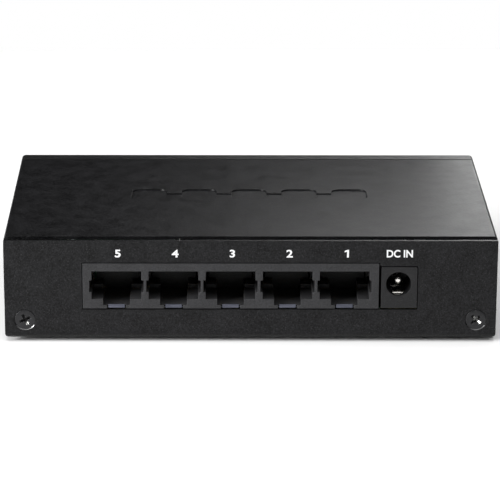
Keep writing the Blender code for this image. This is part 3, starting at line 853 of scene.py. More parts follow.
low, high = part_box("light_guide")
arm_h = 1.4 * MM
guide = block("guide_bar", (low.x, 32.2 * MM, high.z - arm_h), (high.x, 33.2 * MM, high.z))
for x in lamp_xs:
    arm = slab("arm", x, arm_h, (low.y, low.y + arm_h), (low.z, light_z + arm_h / 2))
    slice_through(arm, anything, (0, 0, light_z - arm_h / 2), (0, 0, 1))
    choose(arm, "FACE", lambda at, part: part.normal.y > 0.9 and at.z > light_z - arm_h / 2)
    draw_out(y=high.y - low.y - arm_h)
    choose(arm, "EDGE", lambda at, part: near(at.y, low.y) and near(at.z, light_z + arm_h / 2))
    round_off(MM, 1)
    combine(guide, arm, "UNION")
soften(guide, 0.1 * MM)
install(guide, [clear_guide], replaces=["light_guide"])


# ---- Rubber feet ----
# Four moulded rubber discs glued to the floor, with a shallow ring moulded into the sole.

rubber = mottled(
    name="black_rubber",
    first=(0.012, 0.012, 0.012),
    second=(0.022, 0.021, 0.02),
    gloss=(0.72, 0.88),
    grain=0.25 * MM,
    depth=0.03 * MM,
    specular=0.3,
)


def repeat(pattern, finishes, places):
    """Puts a copy of a pattern at each place, by the node it replaces, and discards the pattern."""
    for replaced, (name, at) in places.items():
        install(copy_to(pattern, name, *at), finishes, replaces=[replaced])
    discard(pattern)


def centre_of(name):
    low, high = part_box(name)
    return (low + high) / 2


foot_r = 4.5 * MM
foot_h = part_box("bottom_chassis")[0].z
foot = rod("foot_pattern", (0, 0, foot_h / 2), foot_r, foot_h, sides=64)
choose(foot, "FACE", lambda at, part: part.normal.z < -0.9)
ring_depth = 0.2 * MM
bpy.ops.mesh.inset(thickness=0.9 * MM)
bpy.ops.mesh.inset(thickness=0.8 * MM)
draw_out(z=ring_depth)
bpy.ops.mesh.inset(thickness=0.5 * MM)
draw_out(z=-ring_depth)
soften(foot, 0.08 * MM)
corners = [f"{row}_{hand}" for row in ("rear", "front") for hand in ("left", "right")]
places = {}
for corner in corners:
    at = centre_of(f"rubber_foot_{corner}")
    places[f"rubber_foot_{corner}"] = (f"moulded_foot_{corner}", (at.x, at.y))
repeat(foot, [rubber], places)


# ---- Rear screws ----
# Two countersunk M3 machine screws with cross recesses and black oxide pull the rear panel and the
# cover's tabs together. The driver has worn the black off the middle of each recess, and the bright
# steel on the recess walls that face up is a painted glint.

black_oxide, tree, shader = new_finish("black_oxide_steel", 0.4, metallic=0.5)
texture = use(tree, surface_grain, Grain=0.2 * MM)
base = blended(tree, texture["Mottle"], (0.014, 0.014, 0.015), (0.026, 0.026, 0.028))
# The head's edges turn lighter grey: partly wear to bare steel, partly a painted rim highlight.
worn_and_lit = use(tree, edge_wear_and_highlight, Reach=0.15 * MM)["Wear_and_Highlight"]
base = blended(tree, worn_and_lit, base, (0.3, 0.3, 0.3))
tree.links.new(base, shader.inputs["Base Color"])
tree.links.new(spread(tree, texture["Mottle"], 0.0, 1.0, 0.34, 0.48), shader.inputs["Roughness"])
bump(tree, shader, texture["Height"], 0.008 * MM)

# Bright steel for the worn middle of each recess, and for its upward walls as a painted glint.
bare_and_glinting_recess, tree, shader = new_finish("driver_worn_and_glinting_steel", 0.25, metallic=1.0)
texture = use(tree, surface_grain, Grain=0.35 * MM)
scuffs = spread(tree, texture["Mottle"], 0.35, 0.65)
patterned(tree, shader, scuffs, (0.02, 0.02, 0.02), (0.3, 0.3, 0.29), (0.4, 0.15))
bump(tree, shader, texture["Height"], 0.01 * MM)


def resize(x, y, z, at):
    """Scales what is selected about a point."""
    bpy.ops.transform.resize(value=(x, y, z), center_override=at)


def cross_punch(reach, width, depth):
    """Two crossed blades that narrow to a blunt point below the head's top, which is at z = 0."""
    blades = []
    for long_x in (True, False):
        half_x, half_y = (reach, width / 2) if long_x else (width / 2, reach)
        blade = block("blade", (-half_x, -half_y, -depth), (half_x, half_y, 0.4 * depth))
        choose(blade, "FACE", lambda at, part: part.normal.z < -0.9)
        resize(0.35 if long_x else 0.6, 0.6 if long_x else 0.35, 1, (0, 0, -depth))
        blades.append(blade)
    return combine(blades[0], blades[1], "UNION")


def thread(piece, root, crest, pitch, turns):
    """Draws the end face down in rings that stand for a thread's crests and roots."""
    for _ in range(turns):
        for scale in (crest / root, root / crest):
            draw_out(z=-pitch / 2)
            end = min(point.co.z for point in bmesh.from_edit_mesh(piece.data).verts)
            resize(scale, scale, 1, (0, 0, end))


head_r = 2.5 * MM
rim_h = 0.2 * MM
cone_h = 1.01 * MM
root_r = 1.25 * MM
pitch = 0.5 * MM
turns = 9
tip_h = 0.25 * MM
recess_r = 1.6 * MM
recess_depth = 0.95 * MM
head = rod("rear_screw_pattern", (0, 0, -rim_h / 2), head_r, rim_h, sides=56)
choose(head, "EDGE", lambda at, part: near(at.z, 0) and len(part.link_faces) == 2)
round_off(0.12 * MM, 2)
choose(head, "FACE", lambda at, part: part.normal.z < -0.9)
draw_out(z=-cone_h)
resize(root_r / head_r, root_r / head_r, 1, (0, 0, -rim_h - cone_h))
thread(head, root_r, 1.45 * MM, pitch, turns)
draw_out(z=-tip_h)
resize(0.7, 0.7, 1, (0, 0, -rim_h - cone_h - turns * pitch - tip_h))
combine(head, cross_punch(1.85 * MM, 0.85 * MM, recess_depth))
soften(head, 0.04 * MM)


def bared(face):
    """Whether a face is at the middle of the recess, which the driver wore bare, or in it and turned up, where
    the bright steel is a painted glint.
    """
    out = math.hypot(face.center.x, face.center.y)
    inside = -recess_depth - 0.01 * MM < face.center.z < -0.3 * recess_depth and out < recess_r
    return int(inside and (out < 0.6 * MM or face.normal.y > 0.5))


dress(head, [black_oxide, bare_and_glinting_recess], bared)
for hand, turn in (("left", math.radians(25)), ("right", math.radians(45))):
    node_name = f"rear_screw_{hand}"
    screw = copy_to(head, f"countersunk_{node_name}")
    screw.rotation_euler = (0, 0, turn)
    settle(screw)
    at = centre_of(node_name)
    screw.rotation_euler = (math.pi / 2, 0, 0)
    screw.location = (at.x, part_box(node_name)[0].y, at.z)
    settle(screw)
    install(screw, [black_oxide, bare_and_glinting_recess], replaces=[node_name])
discard(head)


# ---- Ganged port housing ----
# One glass-filled nylon moulding holds all five sockets. Each cavity has side slots for the plug's
# shoulders, a notch for its latch, and two ledges on its floor that the plug's nose rides on.

port_nylon = coated(
    name="grey_black_nylon",
    dark=(0.014, 0.014, 0.015),
    light=(0.04, 0.04, 0.0425),
    rubbed=(0.06, 0.06, 0.062),
    roughness=0.55,
    grain=0.4 * MM,
    depth=0.012 * MM,
    specular=0.3,
)
low, high = jacks_low, jacks_high
port_back = -25.2 * MM
port_w = 12.18 * MM
port_zs = (11.17 * MM, 18.33 * MM)
ear_w = 13.32 * MM
ear_zs = (12.97 * MM, 16.0 * MM)
notch_w = 6.57 * MM
notch_z = 9.64 * MM
ledge_w = 2.6 * MM
ledge_h = 1.1 * MM
ledge_front = -29.2 * MM
deep_ys = (low.y - MM, port_back)

housing = block("port_housing", low, high)
for number in range(1, 6):
    x = port_x(number)
    for half, ys, zs in (
        (port_w / 2, deep_ys, port_zs),
        (ear_w / 2, deep_ys, ear_zs),
        (notch_w / 2, deep_ys, (notch_z, port_zs[0] + MM)),
        (4.6 * MM, (-35.0 * MM, -25.0 * MM), (port_zs[1] - 0.5 * MM, 19.4 * MM)),
        (5.8 * MM, (-25.4 * MM, high.y + MM), (9.5 * MM, 19.7 * MM)),
        (2.3 * MM, (low.y - MM, low.y + 0.95 * MM), (low.z - MM, notch_z + 0.1 * MM)),
    ):
        combine(housing, slab("hollow", x, half, ys, zs))
    for side in (-1, 1):
        outer = x + side * (port_w / 2 + 0.1 * MM)
        inner = x + side * (port_w / 2 - ledge_w)
        ledge = block(
            "ledge",
            (min(outer, inner), ledge_front, port_zs[0] - 0.1 * MM),
            (max(outer, inner), port_back + 0.3 * MM, port_zs[0] + ledge_h),
        )
        combine(housing, ledge, "UNION")
bay_low = (low.x + MM, low.y + 0.7 * MM, low.z - MM)
combine(housing, block("plate_bay", bay_low, (high.x - MM, high.y - 0.95 * MM, 9.3 * MM)))
soften(housing, 0.1 * MM)
install(housing, [port_nylon], replaces=["rj45_housing"])


# ---- Port contacts ----
# Each port has eight gold-plated phosphor-bronze wires, bent over a moulded block that closes the
# back of the cavity and held apart by a comb. Their ends slant down into the cavity.

gold = mottled(
    name="gold_plate",
    first=(0.78, 0.55, 0.2),
    second=(0.9, 0.68, 0.3),
    gloss=(0.15, 0.32),
    grain=0.3 * MM,
    depth=0.004 * MM,
    metallic=1.0,
)

dc_nylon = coated(
    name="black_nylon",
    dark=(0.005, 0.005, 0.0055),
    light=(0.012, 0.012, 0.013),
    rubbed=(0.04, 0.04, 0.042),
    roughness=0.45,
    grain=0.3 * MM,
    depth=0.008 * MM,
    specular=0.3,
)


def strip(name, points, across=0.0):
    """A line through points as a wire's path, or drawn out sideways as a ribbon, in edit mode."""
    put_down()
    bpy.ops.mesh.primitive_plane_add(size=MM, location=points[0])
    piece = settle(bpy.context.object, name)
    choose(piece, "VERT", anything)
    bpy.ops.mesh.merge(type="CENTER")
    for start, end in zip(points, points[1:]):
        draw_out(*(Vector(end) - Vector(start)))
    if across:
        choose(piece, "VERT", anything)
        bpy.ops.transform.translate(value=(-across / 2, 0, 0))
        draw_out(x=across)
    return piece


def round_wire(name, points, radius, bend):
    """A round wire with rounded bends."""
    piece = strip(name, points)
    choose(piece, "VERT", lambda at, part: len(part.link_edges) == 2)
    bpy.ops.mesh.bevel(offset=bend, segments=4, affect="VERTICES")
    only(piece)
    bpy.ops.object.convert(target="CURVE")
    path = bpy.context.object
    path.data.bevel_depth = radius
    path.data.bevel_resolution = 2
    path.data.use_fill_caps = True
    bpy.ops.object.convert(target="MESH")
    wire = bpy.context.object
    choose(wire, "FACE", anything)
    bpy.ops.mesh.remove_doubles(threshold=0.002 * MM)
    bpy.ops.mesh.normals_make_consistent(inside=False)
    only(wire)
    bpy.ops.object.shade_smooth_by_angle(angle=math.radians(40))
    return wire


wire_r = 0.2 * MM
wire_pitch = 1.016 * MM
wire_top = 18.8 * MM
wire_drop = -21.5 * MM
wire_foot = 8.9 * MM
wire_path = (
    (0, -26.4 * MM, 16.1 * MM),
    (0, -34.0 * MM, 17.8 * MM),
    (0, -34.4 * MM, 18.4 * MM),
    (0, -34.0 * MM, wire_top),
    (0, wire_drop, wire_top),
    (0, wire_drop, wire_foot),
    (0, wire_drop + 1.2 * MM, wire_foot),
)
offsets = [(i - 3.5) * wire_pitch for i in range(8)]
wire = round_wire("wire", wire_path, wire_r, 0.25 * MM)
dress(wire, [gold])
wires = [copy_to(wire, "wire_copy", x) for x in offsets]
discard(wire)
comb_ys = (wire_drop - 0.15 * MM, wire_drop + 0.45 * MM)
comb = slab("comb", 0, 4 * wire_pitch, comb_ys, (wire_top - 2.2 * MM, wire_top - 1.0 * MM))
dress(soften(comb, 0.1 * MM), [dc_nylon])
contacts = joined([*wires, comb])

insert_low, insert_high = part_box("port_3_block")
insert_half = (insert_high.x - insert_low.x) / 2
insert_top = wire_top - 0.05 * MM
insert_ys = (insert_low.y, wire_drop - wire_r)
insert = slab("insert", 0, insert_half, insert_ys, (insert_low.z, insert_top))
choose(insert, "EDGE", lambda at, part: near(at.y, insert_low.y) and near(at.z, insert_top))
round_off(0.5 * MM, 3)
groove_ys = (insert_low.y - 6 * MM, insert_low.y + 6 * MM)
grooves = [dowel("groove", x, wire_top, 1.3 * wire_r, groove_ys, 16) for x in offsets]
combine(insert, joined(grooves))
soften(insert, 0.05 * MM)
ports = {number: (port_x(number),) for number in range(1, 6)}
places = {f"port_{n}_wires": (f"port_contacts_{n}", at) for n, at in ports.items()}
repeat(contacts, [gold, dc_nylon], places)
places = {f"port_{n}_block": (f"port_insert_{n}", at) for n, at in ports.items()}
repeat(insert, [dc_nylon], places)


# ---- Shield plate ----
# A tin-plated strip under the housing earths the cable screens. A tab folds up in front of each
# latch notch.

tin, tree, shader = new_finish("tin_plate_painted_dark", 0.42, metallic=1.0)
rolling = spread(tree, noise(tree, 0.25 * MM, 3.0, (12, 1, 1)), 0.3, 0.7)
# The tin's colour is painted dark and bluish: a painted dark reflection, not tin's own brightness.
patterned(tree, shader, rolling, (0.07, 0.074, 0.095), (0.13, 0.135, 0.17), (0.35, 0.5))
bump(tree, shader, rolling, 0.004 * MM)

low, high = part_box("jack_shield_plate")
gauge = 0.25 * MM
sheet_z = low.z + gauge / 2
tab_y = low.y + gauge / 2
tab_half = 2.0 * MM
strip_y = low.y + 1.2 * MM
plate = blank(
    "shield_plate",
    ((low.x + high.x) / 2, (strip_y + high.y) / 2, sheet_z),
    high.x - low.x,
    high.y - strip_y,
)
for number in range(1, 6):
    for side in (-1, 1):
        slice_through(plate, anything, (port_x(number) + side * tab_half, 0, 0), (1, 0, 0))


def tab_end(at, part):
    """The end of a tab: an edge on the plate's front, or on what was drawn out of it."""
    loose = len(part.link_faces) == 1 and runs(part, "x")
    return loose and any(abs(at.x - port_x(number)) < MM for number in range(1, 6))


choose(plate, "EDGE", lambda at, part: tab_end(at, part) and near(at.y, strip_y))
draw_out(y=tab_y - strip_y)
draw_out(z=high.z - sheet_z)
choose(plate, "EDGE", lambda at, part: near(at.y, tab_y) and near(at.z, sheet_z))
round_off(0.35 * MM, 4)
apply(plate, "SOLIDIFY", thickness=gauge, offset=0, use_even_offset=True)
soften(plate, 0.04 * MM)
install(plate, [tin], replaces=["jack_shield_plate"])


# ---- Power jack ----
# A barrel jack: a nylon body, a nickel-plated centre pin on a rear leg, and a phosphor-bronze leaf
# that presses up on the plug's sleeve.

nickel = mottled(
    name="nickel_plate",
    first=(0.7, 0.68, 0.64),
    second=(0.82, 0.8, 0.76),
    gloss=(0.1, 0.24),
    grain=0.4 * MM,
    depth=0.003 * MM,
    metallic=1.0,
)

low, high = dc_low, dc_high
pin_low, pin_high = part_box("dc_jack_center_pin")
leaf_low, leaf_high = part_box("dc_jack_leaf_spring")
hole_x = 36.2 * MM
hole_z = 15.13 * MM
hole_r = 3.06 * MM
body = block("dc_jack_shell", low, high)
choose(body, "EDGE", lambda at, part: runs(part, "y"))
round_off(0.3 * MM, 3)
combine(body, dowel("barrel", hole_x, hole_z, hole_r, (low.y - 2 * MM, -27 * MM), 72))
combine(body, dowel("pin_hole", hole_x, hole_z, 1.5 * MM, (high.y - 5 * MM, high.y + MM)))
bay_ys = (low.y + 1.45 * MM, high.y - 1.05 * MM)
combine(body, slab("leaf_bay", hole_x, 1.7 * MM, bay_ys, (low.z - MM, hole_z - 2.2 * MM)))
soften(body, 0.1 * MM)
install(body, [dc_nylon], replaces=["dc_jack_body"])

pin_r = 1.0 * MM
pin_end = -22.9 * MM
leg_half = pin_high.x - hole_x
pin = dowel("centre_pin", hole_x, hole_z, pin_r, (pin_low.y, pin_end))
choose(pin, "EDGE", lambda at, part: near(at.y, pin_low.y))
round_off(0.7 * MM, 5)
collar = dowel("collar", hole_x, hole_z, 1.35 * MM, (-27.05 * MM, -26.55 * MM))
combine(pin, collar, "UNION")
leg = block("leg", (pin_low.x, high.y + 0.3 * MM, pin_low.z), pin_high)
choose(leg, "EDGE", lambda at, part: near(at.z, pin_low.z) and near(abs(at.x - hole_x), leg_half))
round_off(0.5 * MM, 1)
combine(pin, leg, "UNION")
soften(pin, 0.05 * MM, 2, 30)
install(pin, [nickel], replaces=["dc_jack_center_pin"])

terminal_low, terminal_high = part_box("dc_jack_sleeve_terminal")
terminal = block("sleeve_terminal", terminal_low, terminal_high)
choose(terminal, "EDGE", lambda at, part: near(at.z, terminal_low.z) and abs(at.x - hole_x) > MM)
round_off(0.7 * MM, 1)
soften(terminal, 0.05 * MM)
install(terminal, [nickel], replaces=["dc_jack_sleeve_terminal"])

# The leaf is an arch in seven points, in millimetres from the line it flexes about.
flex_line = Vector((hole_x, -26.2 * MM, 10.6 * MM))
arch = ((0, 0), (-3.2, 1.45), (-5.2, 2.0), (-6.6, 2.1), (-8.0, 1.95), (-9.0, 1.65), (-9.4, 0.95))
leaf_path = [flex_line + Vector((0, y * MM, z * MM)) for y, z in arch]
leaf = strip("sleeve_leaf", leaf_path, leaf_high.x - leaf_low.x)


def leaf_bend(at, part):
    """One of the edges across the leaf, between its ends."""
    return any(near(at.y, bend.y) and near(at.z, bend.z) for bend in leaf_path[1:-1])


choose(leaf, "EDGE", lambda at, part: leaf_bend(at, part) and near(at.x, hole_x))
round_off(0.2 * MM, 4)
choose(leaf, "EDGE", lambda at, part: near(at.y, leaf_path[-1].y))
resize(0.6, 1, 1, (hole_x, 0, 0))
apply(leaf, "SOLIDIFY", thickness=0.3 * MM, offset=0, use_even_offset=True)
choose(leaf, "FACE", anything)
bpy.ops.mesh.normals_make_consistent(inside=False)
soften(leaf, 0.05 * MM)
install(leaf, [nickel], "dc_leaf", ["dc_jack_leaf_spring"])


# ---- Circuit board and its fasteners ----
# A two-layer glass-epoxy board under green solder mask stands on four zinc-plated standoffs.
# A pan-head screw holds each corner.

board_mask, tree, shader = new_finish("green_solder_mask", 0.35)
place = object_place(tree)
lands = node(tree, "TexVoronoi", feature="DISTANCE_TO_EDGE", distance="CHEBYCHEV")
lands.inputs["Scale"].default_value = 1 / (3.2 * MM)
tree.links.new(place, lands.inputs["Vector"])
copper = spread(tree, lands.outputs["Distance"], 0.07, 0.09)
vias = node(tree, "TexVoronoi", feature="F1")
vias.inputs["Scale"].default_value = 1 / (2.4 * MM)
tree.links.new(place, vias.inputs["Vector"])
rings = spread(tree, vias.outputs["Distance"], 0.13, 0.1)
mask = blended(tree, copper, (0.004, 0.03, 0.014), (0.008, 0.055, 0.026))
mask = blended(tree, rings, mask, (0.6, 0.58, 0.5))
tree.links.new(mask, shader.inputs["Base Color"])
tree.links.new(spread(tree, noise(tree, 6 * MM), 0.3, 0.7, 0.28, 0.42), shader.inputs["Roughness"])
bump(tree, shader, copper, 0.035 * MM)

epoxy = mottled(
    name="glass_epoxy_edge",
    first=(0.22, 0.2, 0.09),
    second=(0.36, 0.33, 0.17),
    gloss=(0.5, 0.7),
    grain=0.3 * MM,
    depth=0.02 * MM,
)

board_low, board_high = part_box("circuit_board")
board = block("printed_board", board_low, board_high)
choose(board, "EDGE", lambda at, part: runs(part, "z"))
round_off(1.2 * MM, 5)
posts = [centre_of(f"standoff_{corner}") for corner in corners]
drills = [rod("drill", (at.x, at.y, board_low.z), 1.7 * MM, 8 * MM, sides=32) for at in posts]
combine(board, joined(drills))
soften(board, 0.06 * MM, 1)
dress(board, [board_mask, epoxy], lambda face: int(abs(face.normal.z) <= 0.5))
install(board, [board_mask, epoxy], replaces=["circuit_board"])

zinc = mottled(
    name="zinc_plate",
    first=(0.52, 0.54, 0.57),
    second=(0.66, 0.67, 0.68),
    gloss=(0.26, 0.44),
    grain=0.5 * MM,
    depth=0.008 * MM,
    metallic=1.0,
)

post_low, post_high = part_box("standoff_rear_left")
post_h = post_high.z - post_low.z
post = rod("standoff", (0, 0, 0), 2.8 * MM, post_h, sides=6)
ring = rod("chamfer", (0, 0, 0), 2.9 * MM, post_h + 0.2 * MM, sides=48)
choose(ring, "FACE", lambda at, part: abs(part.normal.z) > 0.9)
bpy.ops.mesh.region_to_loop()
round_off(0.7 * MM, 1)
combine(post, ring, "INTERSECT")
combine(post, rod("bore", (0, 0, 0), 1.6 * MM, 2 * post_h, sides=32))
soften(post, 0.05 * MM)

screw_low, screw_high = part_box("board_screw_rear_left")
screw_l = screw_high.z - screw_low.z
pan_h = 2.0 * MM
screw = rod("pan_head", (0, 0, -pan_h / 2), 2.75 * MM, pan_h, sides=40)
choose(screw, "EDGE", lambda at, part: near(at.z, 0) and len(part.link_faces) == 2)
round_off(0.9 * MM, 5)
choose(screw, "FACE", lambda at, part: part.normal.z < -0.9)
bpy.ops.mesh.inset(thickness=1.7 * MM)
turns = 11
thread(screw, 1.05 * MM, 1.25 * MM, pitch, turns)
draw_out(z=pan_h + turns * pitch - screw_l)
resize(0.8, 0.8, 1, (0, 0, -screw_l))
combine(screw, cross_punch(1.3 * MM, 0.7 * MM, 0.9 * MM))
soften(screw, 0.04 * MM)
places = {}
screw_places = {}
for corner, at in zip(corners, posts):
    places[f"standoff_{corner}"] = (f"hex_standoff_{corner}", at)
    on_top = (at.x, at.y, screw_high.z)
    screw_places[f"board_screw_{corner}"] = (f"pan_head_screw_{corner}", on_top)
repeat(post, [zinc], places)
repeat(screw, [zinc], screw_places)


# ---- Chips and other components ----
# Moulded packages, five isolating transformers behind the ports, two capacitor cans, an inductor,
# a crystal can and six lamps, all soldered to the top of the board.

moulding = mottled(
    name="moulding_compound",
    first=(0.018, 0.018, 0.019),
    second=(0.03, 0.03, 0.031),
    gloss=(0.52, 0.68),
    grain=0.15 * MM,
    depth=0.01 * MM,
)

on_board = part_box("input_capacitor")[0].z
lead_gauge = 0.2 * MM


def lead(start_x, foot_x, y, width, height):
    """A flat gull-wing lead from the package's side down to its foot on the board."""
    knee = start_x + 0.4 * (foot_x - start_x)
    foot_z = on_board + lead_gauge / 2
    path = ((start_x, height), (knee, height), (knee + 0.1 * MM, foot_z), (foot_x, foot_z))
    points = [(0, x, z) for x, z in path]
    ribbon = strip("lead", points, width)
    apply(ribbon, "SOLIDIFY", thickness=lead_gauge, offset=0, use_even_offset=True)
    ribbon.rotation_euler = (0, 0, -math.pi / 2)
    ribbon.location = (0, y, 0)
    return settle(ribbon)


def package(node_name, size, leads, all_sides, reach):
    """A chip: a moulded body with drafted sides and a dot by its first lead, and its leads."""
    centre = centre_of(node_name)
    half_x, half_y = size[0] / 2 * MM, size[1] / 2 * MM
    low_z, top_z = on_board + 0.15 * MM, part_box(node_name)[1].z
    waist = low_z + min(0.5 * (top_z - low_z), 0.9 * MM)
    draft = 0.25 * MM
    body = slab("package", 0, half_x, (-half_y, half_y), (low_z, top_z))
    slice_through(body, anything, (0, 0, waist), (0, 0, 1))
    for z in (low_z, top_z):
        choose(body, "FACE", lambda at, part: near(at.z, z) and abs(part.normal.z) > 0.9)
        resize(1 - draft / half_x, 1 - draft / half_y, 1, (0, 0, z))
    dot_r = min(0.45 * MM, 0.15 * half_x)
    dot_at = (-half_x + draft + 2 * dot_r, half_y - draft - 2 * dot_r, top_z)
    combine(body, rod("dot", dot_at, dot_r, 0.3 * MM, sides=20))
    dress(soften(body, 0.05 * MM), [moulding])
    ribbons = []
    for i in range(leads):
        slide = (i - (leads - 1) / 2) / leads * 0.94
        for side in (-1, 1):
            for turned in (False, True) if all_sides else (False,):
                along, wide = (half_x, half_y) if turned else (half_y, half_x)
                width = 0.68 * along / leads if leads > 1 else 1.5 * MM
                start, foot = side * (wide - 0.1 * MM), side * (wide + reach)
                ribbon = lead(start, foot, 2 * slide * along, width, waist)
                if turned:
                    ribbon.rotation_euler = (0, 0, math.pi / 2)
                    settle(ribbon)
                ribbons.append(dress(ribbon, [nickel]))
    chip = joined([body, *ribbons])
    chip.location = (centre.x, centre.y, 0)
    settle(chip, f"moulded_{node_name}")
    return install(chip, [moulding, nickel], replaces=[node_name])


package("switch_chip", (14.0, 14.0), 9, True, 1.0 * MM)
package("memory_chip", (3.9, 4.9), 4, False, 0.9 * MM)
package("voltage_regulator", (3.9, 4.9), 4, False, 0.9 * MM)
package("input_diode", (4.3, 2.6), 1, False, 0.5 * MM)
for number in range(1, 6):
    package(f"lan_transformer_{number}", (9.6, 12.8), 6, False, 1.2 * MM)

can = mottled(
    name="capacitor_can",
    first=(0.66, 0.67, 0.69),
    second=(0.78, 0.78, 0.79),
    gloss=(0.22, 0.38),
    grain=0.3 * MM,
    depth=0.005 * MM,
    metallic=1.0,
)

can_low, can_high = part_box("input_capacitor")
can_r = 3.1 * MM
can_h = can_high.z - can_low.z
tin_can = rod("can", (0, 0, can_h / 2), can_r, can_h, sides=64)
waist = 1.9 * MM
for z in (waist - 0.3 * MM, waist, waist + 0.3 * MM):
    slice_through(tin_can, anything, (0, 0, z), (0, 0, 1))
choose(tin_can, "EDGE", lambda at, part: near(at.z, waist))
resize(0.92, 0.92, 1, (0, 0, waist))
choose(tin_can, "EDGE", lambda at, part: near(at.z, can_h))
round_off(0.4 * MM, 4)
nick = 0.12 * MM
for turn in (0, 2 * math.pi / 3, 4 * math.pi / 3):
    score = block("score", (0, -nick, can_h - nick), (2.1 * MM, nick, can_h + MM))
    score.rotation_euler = (0, 0, turn)
    combine(tin_can, settle(score))
soften(tin_can, 0.05 * MM)


def standing(names, prefix):
    """Where copies of a pattern that stands at z = 0 go, by the nodes they replace."""
    places = {}
    for name in names:
        at = centre_of(name)
        places[name] = (f"{prefix}_{name}", (at.x, at.y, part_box(name)[0].z))
    return places


both = ("input_capacitor", "output_capacitor")
repeat(tin_can, [can], standing(both, "drawn"))


def stadium(name, low, high):
    """A flat-sided oval block that stands in the box between two corners, long in Y."""
    end_r = (high[0] - low[0]) / 2
    at = (low[0] + end_r, low[1] + end_r, (low[2] + high[2]) / 2)
    piece = rod(name, at, end_r, high[2] - low[2], (0, 0, math.pi / 32), 32)
    choose(piece, "VERT", lambda at, part: at.y > low[1] + end_r)
    bpy.ops.transform.translate(value=(0, high[1] - low[1] - 2 * end_r, 0))
    return piece


low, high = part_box("clock_crystal")
crystal = stadium("crystal_can", low, (high.x, high.y, low.z + 0.6 * MM))
inset = Vector((0.4 * MM, 0.4 * MM, 0))
shell = stadium("shell", low + inset, high - inset)
choose(shell, "FACE", lambda at, part: part.normal.z > 0.9)
bpy.ops.mesh.region_to_loop()
round_off(0.5 * MM, 4)
combine(crystal, shell, "UNION")
soften(crystal, 0.06 * MM)
install(crystal, [nickel], replaces=["clock_crystal"])

ferrite = mottled(
    name="ferrite",
    first=(0.035, 0.035, 0.038),
    second=(0.07, 0.068, 0.066),
    gloss=(0.6, 0.8),
    grain=0.4 * MM,
    depth=0.03 * MM,
)

low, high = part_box("power_inductor")
at = (low + high) / 2
coil = block("moulded_inductor", low, high)
choose(coil, "EDGE", lambda at, part: runs(part, "z"))
round_off(1.4 * MM, 6)
combine(coil, rod("well", (at.x, at.y, high.z), 2.6 * MM, 0.8 * MM))
combine(coil, rod("drum", (at.x, at.y, high.z - 0.5 * MM), 2.1 * MM, 0.7 * MM), "UNION")
soften(coil, 0.1 * MM)
install(coil, [ferrite], replaces=["power_inductor"])

resin, tree, shader = new_finish("lamp_resin", 0.25)
cloud = spread(tree, noise(tree, 0.4 * MM), 0.3, 0.7)
patterned(tree, shader, cloud, (0.72, 0.8, 0.5), (0.8, 0.85, 0.62), (0.2, 0.35))

low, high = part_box("power_led")
lamp_x, lamp_y, lamp_h = (high.x - low.x) / 2, (high.y - low.y) / 2, high.z - low.z
lens = block("lens", (-0.65 * lamp_x, -lamp_y, 0), (0.65 * lamp_x, lamp_y, lamp_h))
choose(lens, "FACE", lambda at, part: part.normal.z > 0.9)
resize(0.8, 0.8, 1, (0, 0, lamp_h))
dress(soften(lens, 0.08 * MM), [resin])
ends = []
for side in (-1, 1):
    end_x = sorted((side * lamp_x, side * 0.6 * lamp_x))
    end = block("end", (end_x[0], -lamp_y, 0), (end_x[1], lamp_y, 0.35 * lamp_h))
    ends.append(dress(soften(end, 0.03 * MM), [nickel]))
lamp = joined([lens, *ends])
repeat(lamp, [resin, nickel], standing(lamp_nodes, "chip"))


# ---- Studio ----
# A white table, a broad softbox overhead and a weaker one low on the left. Four small ones behind
# grade the roof's sheen from left to right, and one by the camera puts glints in the metal.

put_down()
bpy.ops.mesh.primitive_plane_add(size=1, location=(0, -0.24, 0))
table = bpy.context.object
table.name = "table_top"
paper, tree, shader = new_finish("white_table", 0.9, specular=0.0)
shader.inputs["Base Color"].default_value = (0.92, 0.92, 0.92, 1)
table.data.materials.append(paper)


def softbox(name, at, aim, width, height, power):
    """A rectangular light at a place, turned to what it lights."""
    bpy.ops.object.light_add(type="AREA", location=at)
    lamp = bpy.context.object
    lamp.name = name
    lamp.data.shape = "RECTANGLE"
    lamp.data.size = width
    lamp.data.size_y = height
    lamp.data.energy = power
    lamp.visible_camera = False
    lamp.rotation_mode = "QUATERNION"
    lamp.rotation_quaternion = (Vector(aim) - Vector(at)).to_track_quat("-Z", "Y")
    return lamp


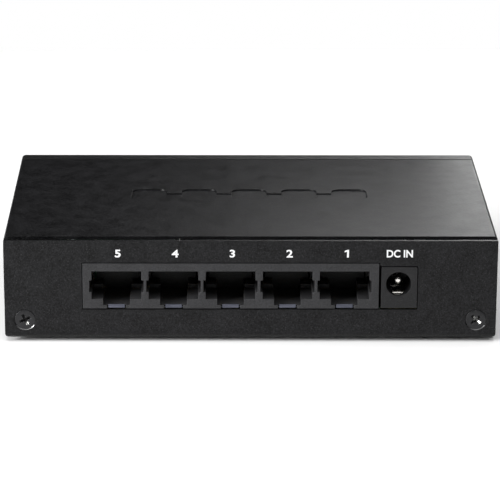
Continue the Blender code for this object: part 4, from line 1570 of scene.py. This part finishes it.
softbox("overhead", (0, -0.25, 1.1), (0, -0.05, 0), 1.6, 1.2, 15.5)
softbox("low_left", (-0.6, -0.3, 0.25), (0, 0, 0.01), 0.3, 0.3, 6)
softbox("sheen_left", (-0.01, 0.3, 0.21), (0, 0, 0.02), 0.05, 0.05, 0.008)
softbox("sheen_centre", (0.03, 0.3, 0.21), (0.02, 0, 0.02), 0.05, 0.05, 0.038)
softbox("sheen_right", (0.075, 0.3, 0.21), (0.05, 0, 0.02), 0.06, 0.06, 0.078)
softbox("sheen_low_right", (0.115, 0.3, 0.095), (0.07, 0, 0.02), 0.07, 0.06, 0.075)
softbox("glint", (0.12, -0.7, 0.4), (0.036, -0.03, 0.01), 0.06, 0.06, 0.12)

world = bpy.data.worlds.new("studio")
bpy.context.scene.world = world
world.use_nodes = True
tree = world.node_tree
room = tree.nodes["Background"]
room.inputs["Color"].default_value = (1, 1, 1, 1)
room.inputs["Strength"].default_value = 0.01
backdrop = tree.nodes.new("ShaderNodeBackground")
backdrop.inputs["Color"].default_value = (1, 1, 1, 1)
pick = tree.nodes.new("ShaderNodeMixShader")
tree.links.new(tree.nodes.new("ShaderNodeLightPath").outputs["Is Camera Ray"], pick.inputs[0])
tree.links.new(room.outputs[0], pick.inputs[1])
tree.links.new(backdrop.outputs[0], pick.inputs[2])
tree.links.new(pick.outputs[0], tree.nodes["World Output"].inputs["Surface"])
bpy.context.scene.view_settings.view_transform = "Standard"

tilt = math.radians(17.984)
swing = math.radians(-0.809)
roll = math.radians(0.288)
distance = 0.7264
aim = Vector((0.279 * MM, 0, 11.655 * MM))
back = Vector(
    (math.sin(swing) * math.cos(tilt), -math.cos(swing) * math.cos(tilt), math.sin(tilt))
)
camera_data = bpy.data.cameras.new("camera")
camera_data.lens = 202.889
camera_data.sensor_width = 36
camera = bpy.data.objects.new("camera", camera_data)
bpy.context.scene.collection.objects.link(camera)
camera.location = aim + back * distance
turn = (-back).to_track_quat("-Z", "Y").to_matrix().to_4x4()
camera.rotation_mode = "QUATERNION"
camera.rotation_quaternion = (turn @ Matrix.Rotation(roll, 4, "Z")).to_quaternion()
bpy.context.scene.camera = camera
